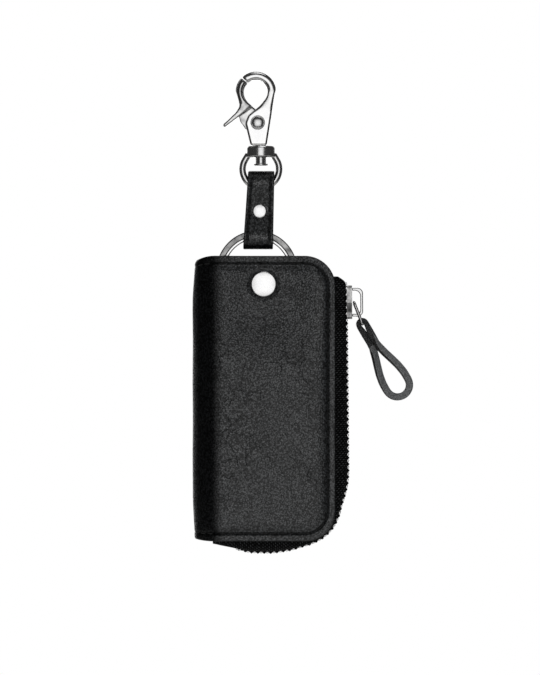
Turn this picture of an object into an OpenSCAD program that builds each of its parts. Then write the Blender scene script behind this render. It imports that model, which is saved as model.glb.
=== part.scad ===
// Key case of leather with a zip round two sides. It hangs from a trigger snap
// by a swivel, a folded strap and a split ring, and a press stud closes it
// through that ring. Millimetres, +Z up, the front faces -Y.
// The origin is the centre of the snap's round opening.

/* [Case leather] */
// Width of the leather, from the spine to the zip side
case_w = 55.4; // [50:0.1:62]
// Height of the leather
case_h = 110.4; // [100:0.1:125]
// Depth of the closed case over the rounded spine
spine_depth = 17.6; // [16.5:0.1:20]
// Depth of the closed case at the edge beside the zip
side_depth = 15.4; // [14.6:0.1:17]
// Radius of the two corners away from the spine
corner_r = 12; // [10:0.1:14]
// Thickness of the outer leather
leather_t = 1.2; // [0.9:0.05:1.4]
// Thickness of the lining
lining_t = 0.8; // [0.6:0.05:1]
// Rise of the padded panel over its sewn edge
pillow_h = 1.2; // [0.8:0.05:1.6]
// Distance of the stitches from the leather's edge
stitch_inset = 3; // [2.6:0.1:3.4]
// Width of the slope between the stitches and the padded panel
shoulder_w = 3.6; // [3:0.1:5]
// How far the press stud draws each side of the mouth in
pinch_h = 3.5; // [3:0.1:3.8]
// How far the spine's ends draw in from its middle
spine_draw = 0.8; // [0:0.1:1.2]

/* [Press stud] */
// Diameter of the domed cap
snap_cap_d = 9.7; // [9:0.1:11]
// Height of the domed cap
snap_cap_h = 1.7; // [1.3:0.1:2.2]
// Distance of the press stud below the top edge
snap_drop = 11; // [10:0.1:13]
// Diameter of the socket on the inside of the front
socket_d = 8.2; // [7.8:0.1:9]
// Diameter of the stud's head
stud_d = 3.2; // [2.8:0.1:3.6]

/* [Split ring] */
// Outer diameter of the split ring
ring_d = 31.6; // [30:0.1:34]
// Width of its flat coils
ring_w = 3.4; // [3:0.1:3.8]
// Thickness of one coil
coil_t = 1.1; // [0.9:0.05:1.2]
// Height of the case's top edge over the ring's centre
case_rise = 5.9; // [5.2:0.1:6.2]

/* [Strap] */
// Width of the strap at its top fold
strap_top_w = 10.4; // [9.6:0.1:11]
// Width of the strap at its bottom fold
strap_low_w = 11.4; // [10.6:0.1:12]
// Thickness of the strap's leather
strap_t = 1.75; // [1.5:0.05:2]
// Distance between the middles of the strap's two loops
strap_len = 20.9; // [20:0.1:24]
// Sideways lean of the strap from its top loop to its bottom loop
strap_lean = 0.9; // [0:0.1:1.2]
// Diameter of the rivet's domed cap
rivet_d = 5.4; // [5:0.1:6]

/* [Swivel] */
// Diameter of the wire of the eye
eye_wire_d = 2.6; // [2.3:0.1:2.9]
// Diameter of the eye's collar
collar_d = 11; // [10.4:0.1:12]
// Height of the collar
collar_h = 4.5; // [4:0.1:5]
// Distance from the collar down to the middle of the eye
eye_drop = 4.4; // [4:0.1:5]
// Diameter of the swivel's shank
shank_d = 4.1; // [3.6:0.1:4.4]
// Diameter of the flange under the shank
flange_d = 5.5; // [5.2:0.1:6.2]

/* [Trigger snap] */
// Radius of the round opening
hook_r = 4.45; // [4:0.05:5]
// Width of the hook's bar round the opening
hook_bar = 3.5; // [3.2:0.1:4]
// Thickness of the hook's bar from front to back
hook_t = 5.2; // [4.8:0.1:6]
// Distance from the opening's centre down to the foot of the body
hook_len = 20.9; // [20:0.1:23]
// Thickness of the body over its two cheeks
cheek_t = 6; // [5.6:0.1:6.6]
// Thickness of the trigger's neck between the cheeks
neck_t = 3; // [2.6:0.1:3.2]
// Diameter of the pivot pin
pin_d = 1.6; // [1.4:0.1:2]

/* [Zip] */
// Distance between two teeth of one row
tooth_pitch = 2.48; // [2.4:0.01:2.6]
// Thickness of a tooth along the zip
tooth_t = 1.05; // [0.9:0.01:1.1]
// Height of a tooth through the chain
tooth_h = 2.2; // [1.8:0.1:2.3]
// Thickness of the woven tape
tape_t = 0.55; // [0.4:0.01:0.6]
// Furthest bulge of the closed zip past the leather's edge
zip_bulge = 4.2; // [3.8:0.1:4.6]
// Length of the slider
slider_len = 13; // [12:0.1:14]
// Thickness of the slider's outer plate
plate_t = 1.5; // [1.2:0.1:1.7]
// Height of the bridge over the outer plate
bridge_h = 4.3; // [4:0.1:4.8]

/* [Zip pull] */
// Diameter of the link's wire
link_wire_d = 1.1; // [0.9:0.05:1.2]
// Distance between the link's two end bars
link_len = 9.1; // [8.6:0.1:10]
// Thickness of the leather thong
thong_t = 2; // [1.7:0.1:2.2]
// Width of the leather thong
thong_w = 2.8; // [2.4:0.1:2.9]
// Length of the thong's loop below the link
thong_len = 32; // [30:0.1:36]
// Width of the thong's loop across its middles
thong_spread = 9.4; // [8:0.1:10]

/* [Hidden] */

// Colours as in the photograph
black_leather = [0.13, 0.13, 0.14];
edge_leather = [0.08, 0.08, 0.09];
cloth = [0.05, 0.05, 0.055];
nickel = [0.78, 0.78, 0.79];
bright_nickel = [0.87, 0.87, 0.88];
foam = [0.3, 0.3, 0.32];

// One overrun for every cut, and the gaps between pieces
over = 1;
fit = 0.02;
gap = 0.05;
run_gap = 0.2;
fine = 48;

function smooth(t) = t <= 0 ? 0 : t >= 1 ? 1 : t * t * (3 - 2 * t);
function mix(a, b, t) = a + (b - a) * t;
function unit(v) = v / norm(v);

// A corner of an outline, rounded by an arc of radius r
function corner_arc(a, p, b, r, steps) =
    let (
        u = unit(a - p),
        v = unit(b - p),
        half = acos(max(-1, min(1, u * v))) / 2,
        reach = min(r / tan(half), 0.49 * norm(a - p), 0.49 * norm(b - p)),
        rr = reach * tan(half),
        mid = p + unit(u + v) * rr / sin(half),
        from = p + u * reach - mid,
        to = p + v * reach - mid
    )
    [for (i = [0:steps]) mid + rr * unit(mix(from, to, mix(i / steps, smooth(i / steps), 0.12)))];

// An outline of [x, y, radius] corners, with round stretches as arcs
function rounded(corners, steps = 5) =
    let (n = len(corners))
    [
        for (i = [0:n - 1])
            let (
                a = corners[(i + n - 1) % n],
                p = corners[i],
                b = corners[(i + 1) % n]
            )
            each p[2] > 0
                ? corner_arc([a[0], a[1]], [p[0], p[1]], [b[0], b[1]], p[2], steps)
                : [[p[0], p[1]]]
    ];

// Corners drawn in by d, with their radii following, for a bevel
function drawn_in(corners, d) =
    let (n = len(corners))
    [
        for (i = [0:n - 1])
            let (
                p = corners[i],
                a = corners[(i + n - 1) % n],
                b = corners[(i + 1) % n],
                e = unit([p[0] - a[0], p[1] - a[1]]),
                f = unit([b[0] - p[0], b[1] - p[1]]),
                m = unit(e + f),
                convex = e[0] * f[1] - e[1] * f[0] > 0,
                reach = d / max(0.5, m * e)
            )
            [
                p[0] - reach * m[1], p[1] + reach * m[0],
                p[2] > 0 ? (convex ? max(p[2] - d, 0.3 * p[2]) : p[2] + d) : 0
            ]
    ];

// A closed solid through rings of points. The points of each ring go out along
// one side and back along the other, so the ends close as strips.
module skin(rings) {
    n = len(rings[0]);
    m = len(rings);
    sides = [
        for (i = [0:m - 2])
            for (j = [0:n - 1])
                let (k = (j + 1) % n)
                each [
                    [i * n + j, i * n + k, (i + 1) * n + k],
                    [i * n + j, (i + 1) * n + k, (i + 1) * n + j]
                ]
    ];
    caps = [
        for (j = [0:n / 2 - 2])
            let (k = n - 1 - j, last = (m - 1) * n)
            each [
                [j, k, j + 1],
                [j + 1, k, k - 1],
                [last + j, last + j + 1, last + k],
                [last + j + 1, last + k - 1, last + k]
            ]
    ];
    polyhedron([for (ring = rings) each ring], concat(sides, caps), convexity = 6);
}

// A flat plate in the XZ plane with a bevelled rim, centred on y = 0. Its corners
// run anticlockwise as [x, z, radius].
module bevel_plate(corners, thick, bevel, steps = 5) {
    full = rounded(corners, steps);
    small = rounded(drawn_in(corners, bevel), steps);
    n = len(full);
    levels = [
        [-thick / 2, small], [-thick / 2 + bevel, full],
        [thick / 2 - bevel, full], [thick / 2, small]
    ];
    sides = [
        for (i = [0:2])
            for (j = [0:n - 1])
                let (k = (j + 1) % n)
                each [
                    [i * n + j, (i + 1) * n + k, i * n + k],
                    [i * n + j, (i + 1) * n + j, (i + 1) * n + k]
                ]
    ];
    caps = [[for (j = [0:n - 1]) j], [for (j = [n - 1:-1:0]) 3 * n + j]];
    rotate([90, 0, 0])
        polyhedron(
            [for (level = levels) for (p = level[1]) [p[0], p[1], level[0]]],
            concat(sides, caps),
            convexity = 8
        );
}

// A body drawn in the XZ plane as seen from the front, centred on y = 0
module upright(thick) {
    rotate([90, 0, 0])
        linear_extrude(thick, center = true)
            children();
}

// Places down the middle of the hook, swivel and strap
swivel_x = 1.9;
pivot = [0.7, -12];
collar_top = -hook_len - run_gap;
collar_foot = collar_top - collar_h;
eye_z = collar_foot - eye_drop;
strap_side_gap = 0.6;
eye_in_r = strap_top_w / 2 + strap_side_gap;
eye_r = eye_in_r + eye_wire_d / 2;
flange_t = 0.8;
flange_play = 2.35;

// The wire of the eye inside the strap reaches from its outermost bottom to its
// inner face at the strap's edges, and the strap's top loop goes round both.
wire_low = eye_r + eye_wire_d / 2;
wire_high = sqrt(pow(eye_in_r, 2) - pow(strap_top_w / 2, 2));
top_loop_z = eye_z - (wire_low + wire_high) / 2;
top_loop_r = (wire_low - wire_high) / 2 + run_gap;
low_loop_z = top_loop_z - strap_len;
low_loop_x = swivel_x - strap_lean;

// The band of the ring inside the strap, and the strap's bottom loop
ring_r = ring_d / 2;
ring_in_r = ring_r - ring_w;
coil_gap = 0.1;
ring_t = 2 * coil_t + coil_gap;
ring_x = 0.4;
band_side = strap_low_w / 2 + low_loop_x - ring_x;
band_low = sqrt(pow(ring_in_r, 2) - pow(band_side, 2));
low_loop_gap = 0.25;
low_loop_r = norm([(ring_r - band_low) / 2, ring_t / 2]) + low_loop_gap;
ring_z = low_loop_z - (ring_r + band_low) / 2;

// The case
case_x = 3.1;
case_left = case_x - case_w / 2;
case_right = case_x + case_w / 2;
case_top = ring_z + case_rise;
case_bottom = case_top - case_h;
spine_r = spine_depth / 2;
panel_left = case_left + spine_r;
snap_x = 3;
snap_z = case_top - snap_drop;
tape_off = leather_t + gap;
lining_off = tape_off + tape_t + gap;
seam = gap;

// Depth of the leather's outer face from the middle plane, without the padding.
// The press stud draws the mouth in, most beside itself.
flat_r = snap_cap_d / 2 + 0.5 * leather_t;
pinch_run = 2.7 * snap_drop;
pinch_side_share = 0.2;
function pinch(x, z) =
    pinch_h * (1 - smooth((snap_z - flat_r - z) / pinch_run))
    * mix(1, pinch_side_share, smooth((abs(x - snap_x) - flat_r) / (case_w / 2 - flat_r)));
function depth(x, z) =
    mix(spine_r, side_depth / 2, max(0, x - panel_left) / (case_right - panel_left))
    - pinch(x, z);

// Distance in from the outline of a panel whose edges are drawn in by inset
function edge_gap(x, z) =
    let (
        side = case_right - x,
        end = min(case_top - z, z - case_bottom)
    )
    side < corner_r && end < corner_r
        ? corner_r - norm([corner_r - side, corner_r - end])
        : min(side, end);

// Rise of the padded panel. It runs out at the spine, and the press stud holds it down.
function pillow(x, z) =
    pillow_h * smooth((edge_gap(x, z) - stitch_inset) / shoulder_w)
    * smooth((x - panel_left) / spine_r)
    * (1 - 0.75 * (1 - smooth((norm([x - snap_x, z - snap_z]) - flat_r) / flat_r)));

function side_x(z, inset) =
    let (
        r = corner_r - inset,
        end = max(0, min(case_top - inset - z, z - case_bottom - inset))
    )
    case_right - inset - (end >= r ? 0 : r - sqrt(r * r - (r - end) * (r - end)));

// Rows down a panel, as shares of its corner radius from either end
row_shares = [0, 0.034, 0.13, 0.25, 0.36, 0.46, 0.56, 0.72, 0.92, 1.14, 1.4, 1.8, 2.5, 3.4];
lining_row_shares = [0, 0.13, 0.46, 0.92, 1.14, 1.4, 1.8, 2.5, 3.4];
function rows(inset, shares) =
    let (
        top = case_top - inset,
        bottom = case_bottom + inset,
        r = corner_r - inset
    )
    concat(
        [for (s = shares) top - s * r],
        [(top + bottom) / 2],
        [for (i = [len(shares) - 1:-1:0]) bottom + shares[i] * r]
    );

// Columns across a panel, as shares of its width
column_shares = [0.06, 0.15, 0.27, 0.403, 0.53, 0.64, 0.73, 0.8, 0.85, 0.89, 0.925, 0.96, 1];
lining_column_shares = [0.15, 0.27, 0.403, 0.53, 0.64, 0.73, 0.85, 1];

// One surface point of the front half: arc_share runs up the spine, then share
// runs over the panel. off is how deep the surface lies under the leather's face.
function spine_point(a, z, off) =
    let (
        end = min(case_top - z, z - case_bottom),
        rx = spine_r - spine_draw * (1 - smooth(end / (2 * spine_r))) - off,
        ry = depth(panel_left, z) - off - seam
    )
    [panel_left - rx * cos(a), -seam - ry * sin(a), z];
function panel_point(x, z, off, rise) = [x, -(depth(x, z) + rise * pillow(x, z) - off), z];

spine_steps = 7;
function half_line(z, off, rise, inset, shares, steps) =
    concat(
        [for (i = [0:steps]) spine_point(90 * i / steps, z, off)],
        [for (s = shares) panel_point(mix(panel_left, side_x(z, inset), s), z, off, rise)]
    );
function reversed(list) = [for (i = [len(list) - 1:-1:0]) list[i]];
function half_ring(z, off, thick, rise, inset, shares, steps) =
    concat(
        half_line(z, off, rise, inset, shares, steps),
        reversed(half_line(z, off + thick, rise, inset, shares, steps))
    );

// The hole for the press stud's shank through a front layer
shank_r = 1.3;
module snap_hole() {
    translate([snap_x, 0, snap_z])
        rotate([90, 0, 0])
            cylinder(h = 2 * spine_depth, r = shank_r + gap, center = true, $fn = 24);
}

// Front leather: the panel and the front half of the spine
module leather_half() {
    difference() {
        skin([for (z = rows(0, row_shares)) half_ring(z, 0, leather_t, 1, 0, column_shares, spine_steps)]);
        snap_hole();
    }
}

// The lining lies against the leather at the top edge and under the tape elsewhere
lining_inset = 0.3;
lining_steps = 4;
function lining_depth(z) =
    mix(tape_off + gap, lining_off, smooth((case_top - z) / (2 * stitch_inset)));
module lining_half() {
    difference() {
        skin([
            for (z = rows(lining_inset, lining_row_shares))
                half_ring(z, lining_depth(z), lining_t, 0, lining_inset, lining_column_shares, lining_steps)
        ]);
        snap_hole();
    }
}

// The padding fills the rise of the panel inside the zip's tape
tape_in = 1.55 * stitch_inset;
padding_inset = tape_in + 0.2 * stitch_inset;
padding_left = panel_left + 0.5 * spine_r;
padding_share = 0.85;
padding_row_shares = [0, 0.07, 0.3, 0.62, 1, 1.25, 1.71, 2.42, 3.67, 5.27];
padding_column_shares = [0, 0.07, 0.222, 0.389, 0.549, 0.687, 0.801, 0.89, 0.953, 1];
function padding_line(z, off, rise) =
    [
        for (s = padding_column_shares)
            let (x = mix(padding_left, side_x(z, padding_inset), s))
            panel_point(x, z, off, rise)
    ];
module padding_half() {
    difference() {
        skin([
            for (z = rows(padding_inset, padding_row_shares))
                concat(
                    padding_line(z, leather_t + 3 * gap, padding_share),
                    reversed(padding_line(z, lining_off - 3 * gap, 0))
                )
        ]);
        snap_hole();
    }
}

module front_cover() {
    color(black_leather)
        leather_half();
}

module back_cover() {
    color(black_leather)
        mirror([0, 1, 0])
            leather_half();
}

module front_padding() {
    color(foam)
        padding_half();
}

module back_padding() {
    color(foam)
        mirror([0, 1, 0])
            padding_half();
}

module front_lining() {
    color(edge_leather)
        lining_half();
}

module back_lining() {
    color(edge_leather)
        mirror([0, 1, 0])
            lining_half();
}

// The zip follows the leather's edge down the side, round the corner and along
// the bottom. s is the length along that edge from the zip's top end.
zip_top = case_top - 0.667 * corner_r;
side_run = zip_top - case_bottom - corner_r;
corner_run = corner_r * PI / 2;
bottom_run = case_w - corner_r - spine_r + 0.1 * spine_r;
zip_run = side_run + corner_run + bottom_run;
function edge_angle(s) = max(0, min(90, 90 * (s - side_run) / corner_run));
function edge_at(s) =
    let (a = edge_angle(s))
    [
        case_right - corner_r + corner_r * cos(a) - max(0, s - side_run - corner_run),
        min(zip_top, max(zip_top - s, case_bottom + corner_r)) - corner_r * sin(a)
    ];

// Bulge of the chain's middle past the leather's edge: [share of the run, share of zip_bulge]
bulge_shares = [
    [0, 0.1], [0.006, 0.42], [0.012, 0.68], [0.018, 0.8], [0.026, 0.84], [0.53, 1], [0.56, 0.9],
    [0.592, 0.62], [0.613, 0.36], [0.65, 0.1], [0.69, 0.03], [0.73, 0.08], [0.757, 0.3],
    [0.79, 0.66], [0.84, 0.92], [0.9, 0.88], [0.945, 0.5], [0.975, 0.3], [1, 0.1]
];
bulge_ease_share = 0.008;
function bulge(s) =
    let (ease = s < slide_from + slider_len ? 0 : bulge_ease_share)
    zip_bulge * (
        lookup(s / zip_run - ease, bulge_shares)
        + lookup(s / zip_run - ease / 3, bulge_shares)
        + lookup(s / zip_run + ease / 3, bulge_shares)
        + lookup(s / zip_run + ease, bulge_shares)
    ) / 4;
slide_from = 0.022 * zip_run;
slide_to = 0.53 * zip_run;

// The two rows part above the slider's narrow end, round its diamond
head_reach = 0.7;
tooth_foot = 2.7;
tooth_root = 0.6;
tooth_play = 0.12;
root_play = 0.35;
tape_edge = head_reach + tooth_root;
diamond_w = 1;
row_gap = 0.15;
row_spread = head_reach + diamond_w / 2 + row_gap;
stop_gap = 0.3;
slider_top = slide_from + stop_gap;
slider_mid = slider_top + slider_len / 2;
function spread(s) = row_spread * smooth((slider_mid + 0.2 * slider_len - s) / (0.28 * slider_len));
tape_flat = 2.2;
function flat_to(s) = tape_edge + tape_flat + 1.07 * spread(s);

// The tape's middle line at s: [distance past the leather's edge, depth]
leave = 0.35;
least_turn = 0.45;
least_drop = 0.8;
turn_shares = [0, 0.25, 0.5, 0.75, 1];
function layer_depth(s, out) =
    let (
        p = edge_at(s),
        a = edge_angle(s)
    )
    depth(p[0] + out * cos(a), p[1] - out * sin(a)) - tape_off - tape_t / 2;
function tape_line(s) =
    let (
        b = bulge(s),
        d = layer_depth(s, 0),
        room = d - flat_to(s),
        turn_x = max(least_turn, min(b - leave, room)),
        turn_y = min(room, max(turn_x, least_drop)),
        under = min(0, b - turn_x - leave)
    )
    concat(
        [
            [-tape_in, layer_depth(s, -tape_in)],
            [mix(-tape_in, under, 0.5), layer_depth(s, mix(-tape_in, under, 0.5))],
            [under, d]
        ],
        [
            for (t = turn_shares)
                [b - turn_x * (1 - sin(90 * t)), d - turn_y * (1 - cos(90 * t))]
        ],
        [[b, tape_edge + spread(s)]]
    );
function tape_point(s, p) =
    let (
        e = edge_at(s),
        a = edge_angle(s)
    )
    [e[0] + p[0] * cos(a), -p[1], e[1] - p[0] * sin(a)];
function tape_ring(s) =
    let (
        line = tape_line(s),
        n = len(line),
        sides = [
            for (i = [0:n - 1])
                let (d = unit(line[min(n - 1, i + 1)] - line[max(0, i - 1)]))
                [-d[1], d[0]] * tape_t / 2
        ]
    )
    concat(
        [for (i = [0:n - 1]) tape_point(s, line[i] + sides[i])],
        [for (i = [n - 1:-1:0]) tape_point(s, line[i] - sides[i])]
    );
tape_shares = concat(
    [0, 0.006, 0.012, 0.018, 0.026, 0.04, 0.06, 0.068, 0.076, 0.084, 0.095, 0.13, 0.16],
    [for (i = [1:7]) mix(0.16, 0.53, i / 7)],
    [for (i = [1:38]) mix(0.53, 1, i / 38)]
);
module tape_half() {
    skin([for (t = tape_shares) tape_ring(t * zip_run)]);
}

module front_zip_tape() {
    color(cloth)
        tape_half();
}

module back_zip_tape() {
    color(cloth)
        mirror([0, 1, 0])
            tape_half();
}

// One tooth: two legs grip the tape's edge and the head reaches past the middle
tape_slot = tape_t / 2 + tooth_play;
tooth_bevel = 0.2 * tooth_h;
tooth_profile = [
    [-tooth_h / 2, head_reach - tooth_bevel], [-tooth_h / 2 + tooth_bevel, head_reach],
    [tooth_h / 2 - tooth_bevel, head_reach], [tooth_h / 2, head_reach - tooth_bevel],
    [tooth_h / 2, -tooth_foot], [tape_slot, -tooth_foot],
    [tape_slot, root_play - tape_edge], [-tape_slot, root_play - tape_edge],
    [-tape_slot, -tooth_foot], [-tooth_h / 2, -tooth_foot]
];
function chain_point(s) =
    let (
        e = edge_at(s),
        a = edge_angle(s)
    )
    [e[0] + bulge(s) * cos(a), e[1] - bulge(s) * sin(a)];
module on_chain(s) {
    p = chain_point(s);
    d = chain_point(s - tooth_t / 2) - chain_point(s + tooth_t / 2);
    translate([p[0], 0, p[1]])
        rotate([0, atan2(d[0], d[1]), 0])
            children();
}
stop_len = 1;
teeth_from = slider_top + tooth_t;
teeth_to = 0.935 * zip_run;
tooth_count = floor((teeth_to - teeth_from) / tooth_pitch);
module teeth_row(shift) {
    for (i = [0:tooth_count - 1]) {
        s = teeth_from + (i + shift) * tooth_pitch;
        on_chain(s)
            translate([0, -spread(s), 0])
                linear_extrude(tooth_t, center = true)
                    polygon(tooth_profile);
    }
}

module front_zip_teeth() {
    color(bright_nickel)
        teeth_row(0);
}

module back_zip_teeth() {
    color(bright_nickel)
        mirror([0, 1, 0])
            teeth_row(0.5);
}

// A top stop: a small clip on one tape's edge over the slider
module top_stop() {
    on_chain(slider_top - gap - stop_len / 2)
        translate([0, -spread(0), 0])
            difference() {
                translate([-tooth_h / 2, -tooth_foot, -stop_len / 2])
                    cube([tooth_h, tooth_foot - head_reach, stop_len]);
                translate([-tape_slot, -tooth_foot - over, -stop_len])
                    cube([2 * tape_slot, tooth_foot + over - tape_edge + tooth_play, 2 * stop_len]);
            }
}

module front_top_stop() {
    color(bright_nickel)
        top_stop();
}

module back_top_stop() {
    color(bright_nickel)
        mirror([0, 1, 0])
            top_stop();
}

// The bottom stop grips both tapes where the teeth end
stop_half = 1;
module zip_bottom_stop() {
    color(bright_nickel)
        on_chain(teeth_from + tooth_count * tooth_pitch + stop_half + tooth_play)
            difference() {
                cube([tooth_h, 2 * tooth_foot, 2 * stop_half], center = true);
                for (side = [-1, 1])
                    translate([0, side * (tape_edge - tooth_play + tooth_foot), 0])
                        cube([2 * tape_slot, 2 * tooth_foot, 4 * stop_half], center = true);
            }
}

// The slider, drawn about the chain's middle with +X outwards and +Z up the zip
run_lean = atan((bulge(slide_to) - bulge(slide_from)) / (slide_to - slide_from));
flange_w = 0.6;
slide_gap = 0.3;
chamber = tooth_h / 2 + slide_gap;
inner_plate_t = 0.75 * plate_t;
plate_face = chamber + plate_t;
top_half_w = tooth_foot + row_spread + row_gap + flange_w;
low_half_w = tooth_foot + row_gap + flange_w;
slider_round = 0.9;
tape_way = 0.85;
module slider_place() {
    e = edge_at(slider_mid);
    translate([e[0] + bulge(slider_mid), 0, e[1]])
        rotate([0, -run_lean, 0])
            children();
}
function slider_outline(inset, extra) =
    let (
        top = slider_len / 2 + extra,
        a = top_half_w - inset,
        b = low_half_w - inset,
        r = extra > 0 ? 0 : slider_round
    )
    [
        [-a, top, r], [-a, -0.02 * slider_len, r], [-b, -0.3 * slider_len, r], [-b, -top, r],
        [b, -top, r], [b, -0.3 * slider_len, r], [a, -0.02 * slider_len, r], [a, top, r]
    ];
module slider_slice(from, to, inset, extra) {
    rotate([90, 0, 90])
        translate([0, 0, from])
            linear_extrude(to - from)
                polygon(rounded(slider_outline(inset, extra), 4));
}
module slider_body() {
    color(nickel)
        slider_place() {
            slider_slice(chamber, plate_face - 0.3 * plate_t, 0, 0);
            slider_slice(plate_face - 0.3 * plate_t, plate_face, 0.4 * plate_t, 0);
            slider_slice(-chamber - inner_plate_t, -chamber, 0, 0);
            for (side = [-1, 1])
                difference() {
                    slider_slice(
                        side > 0 ? tape_way : -chamber,
                        side > 0 ? chamber : -tape_way,
                        0,
                        0
                    );
                    slider_slice(-chamber - over, chamber + over, flange_w, over);
                }
            rotate([90, 0, 90])
                linear_extrude(2 * chamber, center = true)
                    polygon([
                        [-diamond_w / 2, 0.46 * slider_len], [-diamond_w / 2, 0.14 * slider_len],
                        [0, 0.05 * slider_len], [diamond_w / 2, 0.14 * slider_len],
                        [diamond_w / 2, 0.46 * slider_len]
                    ]);
        }
}

// The bridge: an arch over the outer plate that the link runs in
bridge_t = 1.1;
bridge_w = 2.2;
bridge_top = plate_face + bridge_h;
bridge_foot = 0.43 * slider_len;
module slider_bridge() {
    color(nickel)
        slider_place()
            upright(bridge_w)
                difference() {
                    polygon(rounded([
                        [plate_face, bridge_foot, 0], [plate_face, -bridge_foot, 0],
                        [bridge_top, -bridge_foot, 0.5 * bridge_h],
                        [bridge_top, bridge_foot, 0.85 * bridge_h]
                    ]));
                    polygon(rounded([
                        [plate_face - over, bridge_foot - bridge_t, 0],
                        [plate_face - over, bridge_t - bridge_foot, 0],
                        [bridge_top - bridge_t, bridge_t - bridge_foot, 0.5 * bridge_h - bridge_t / 2],
                        [bridge_top - bridge_t, bridge_foot - bridge_t, 0.85 * bridge_h - bridge_t / 2]
                    ]));
                }
}

// The pull: a wire link in the bridge, and a thong looped over the link's lower bar
link_angle = 21;
thong_angle = 30;
link_x = plate_face + link_wire_d / 2 + run_gap;
link_half = thong_w + 2 * run_gap + link_wire_d / 2;
link_bend = link_wire_d;
module link_place() {
    slider_place()
        translate([link_x, 0, 0])
            rotate([0, run_lean - link_angle, 0])
                children();
}
module link_bar(length) {
    cylinder(h = length, d = link_wire_d, center = true, $fn = 24);
}
module pull_link() {
    color(bright_nickel)
        link_place() {
            for (end = [0, -link_len])
                translate([0, 0, end])
                    rotate([90, 0, 0])
                        link_bar(2 * (link_half - link_bend));
            for (side = [-1, 1])
                translate([0, side * link_half, -link_len / 2])
                    link_bar(link_len - 2 * link_bend);
            for (turn = [0:3])
                let (
                    side = turn % 2 == 0 ? 1 : -1,
                    end = turn < 2 ? 0 : 1
                )
                translate([0, side * (link_half - link_bend), end == 0 ? -link_bend : link_bend - link_len])
                    rotate([0, 90, 0])
                        rotate([0, 0, (side > 0 ? 90 : 180) + (end == 0 ? 0 : side > 0 ? -90 : 90)])
                            rotate_extrude(angle = 90, $fn = fine)
                                translate([link_bend, 0])
                                    circle(d = link_wire_d, $fn = 24);
        }
}

// The thong: each end goes up, over the link's bar and down to a cut end, side by side
wrap_r = link_wire_d / 2 + gap + thong_t / 2;
thong_side = thong_w / 2 + run_gap / 2;
pad_len = 0.28 * thong_len;
low_r = thong_spread / 2;
leg_in = 0.42 * thong_t;
// Route of one strand from the cut end to the bottom of the loop:
// [across, down, share of the way from its own side to the middle]
strand_turns = 6;
function strand_route() =
    concat(
        [[-0.92 * wrap_r, pad_len, 0], [-wrap_r, pad_len / 2, 0]],
        [for (i = [0:strand_turns]) wrap_r * [-cos(180 * i / strand_turns), -sin(180 * i / strand_turns), 0]],
        [[mix(wrap_r, leg_in, 0.6), 0.5 * pad_len, 0], [leg_in, 0.8 * pad_len, 0]],
        [
            for (i = [1:5])
                [mix(leg_in, low_r, smooth(i / 5.4)), mix(0.8 * pad_len, thong_len - low_r, i / 6), 0]
        ],
        [
            for (i = [0:5])
                [low_r * cos(16 * i), thong_len - low_r + low_r * sin(16 * i), smooth(0.9 * i / 5) / 1.1]
        ]
    );
function strand(side) =
    [for (p = strand_route()) [-side * p[0], side * thong_side * (1 - p[2]), -p[1]]];
thong_route = concat(strand(1), [[0, 0, -thong_len]], reversed(strand(-1)));
function thong_ring(i) =
    let (
        n = len(thong_route),
        d = thong_route[min(n - 1, i + 1)] - thong_route[max(0, i - 1)],
        e = unit([d[0], 0, d[2]]),
        across = [-e[2], 0, e[0]] * thong_t / 2,
        through = [0, thong_w / 2, 0],
        p = thong_route[i]
    )
    [p + across + through, p + across - through, p - across - through, p - across + through];
module thong_place() {
    link_place()
        translate([0, 0, -link_len])
            rotate([0, link_angle - thong_angle, 0])
                children();
}
module pull_thong() {
    color(black_leather)
        thong_place()
            skin([for (i = [0:len(thong_route) - 1]) thong_ring(i)]);
}

// Press stud, drawn about its axis with +Z towards the front
function leather_face(x, z) = depth(x, z) + pillow(x, z);
snap_face = max([
    for (a = [0:45:315])
        leather_face(snap_x + 0.98 * flat_r * cos(a), snap_z + 0.98 * flat_r * sin(a))
]) + gap;
snap_inner = min([
    for (a = [0:45:315])
        depth(snap_x + 0.5 * socket_d * cos(a), snap_z + 0.5 * socket_d * sin(a))
]) - lining_off - lining_t - gap;
snap_wall = 0.4;
snap_floor = snap_inner - snap_wall;
socket_end = 0.2;
stud_end = 0.1;
stud_tip = snap_floor - 3 * gap;
stud_play = 0.3;
socket_in_r = stud_d / 2 + stud_play;
module snap_place(side) {
    translate([snap_x, 0, snap_z])
        rotate([side * 90, 0, 0])
            children();
}
module snap_cap() {
    r = snap_cap_d / 2;
    h = snap_cap_h;
    color(bright_nickel)
        snap_place(1)
            rotate_extrude($fn = fine)
                polygon(concat(
                    [[0, snap_floor], [shank_r, snap_floor], [shank_r, snap_face], [0.92 * r, snap_face]],
                    [for (a = [-60:30:60]) [r - 0.25 * h + 0.25 * h * cos(a), snap_face + 0.3 * h + 0.3 * h * sin(a)]],
                    [for (i = [1:5]) [r * (0.9 - 0.18 * i), snap_face + mix(0.58 * h, h, sin(18 * i))]],
                    [[0, snap_face + h]]
                ));
}
module snap_socket() {
    r = socket_d / 2;
    color(nickel)
        snap_place(1)
            rotate_extrude($fn = fine)
                polygon([
                    [shank_r + gap, snap_inner], [r, snap_inner], [r, socket_end + gap + 0.1 * r],
                    [0.9 * r, socket_end], [socket_in_r, socket_end],
                    [socket_in_r, snap_floor], [shank_r + gap, snap_floor]
                ]);
}
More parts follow.
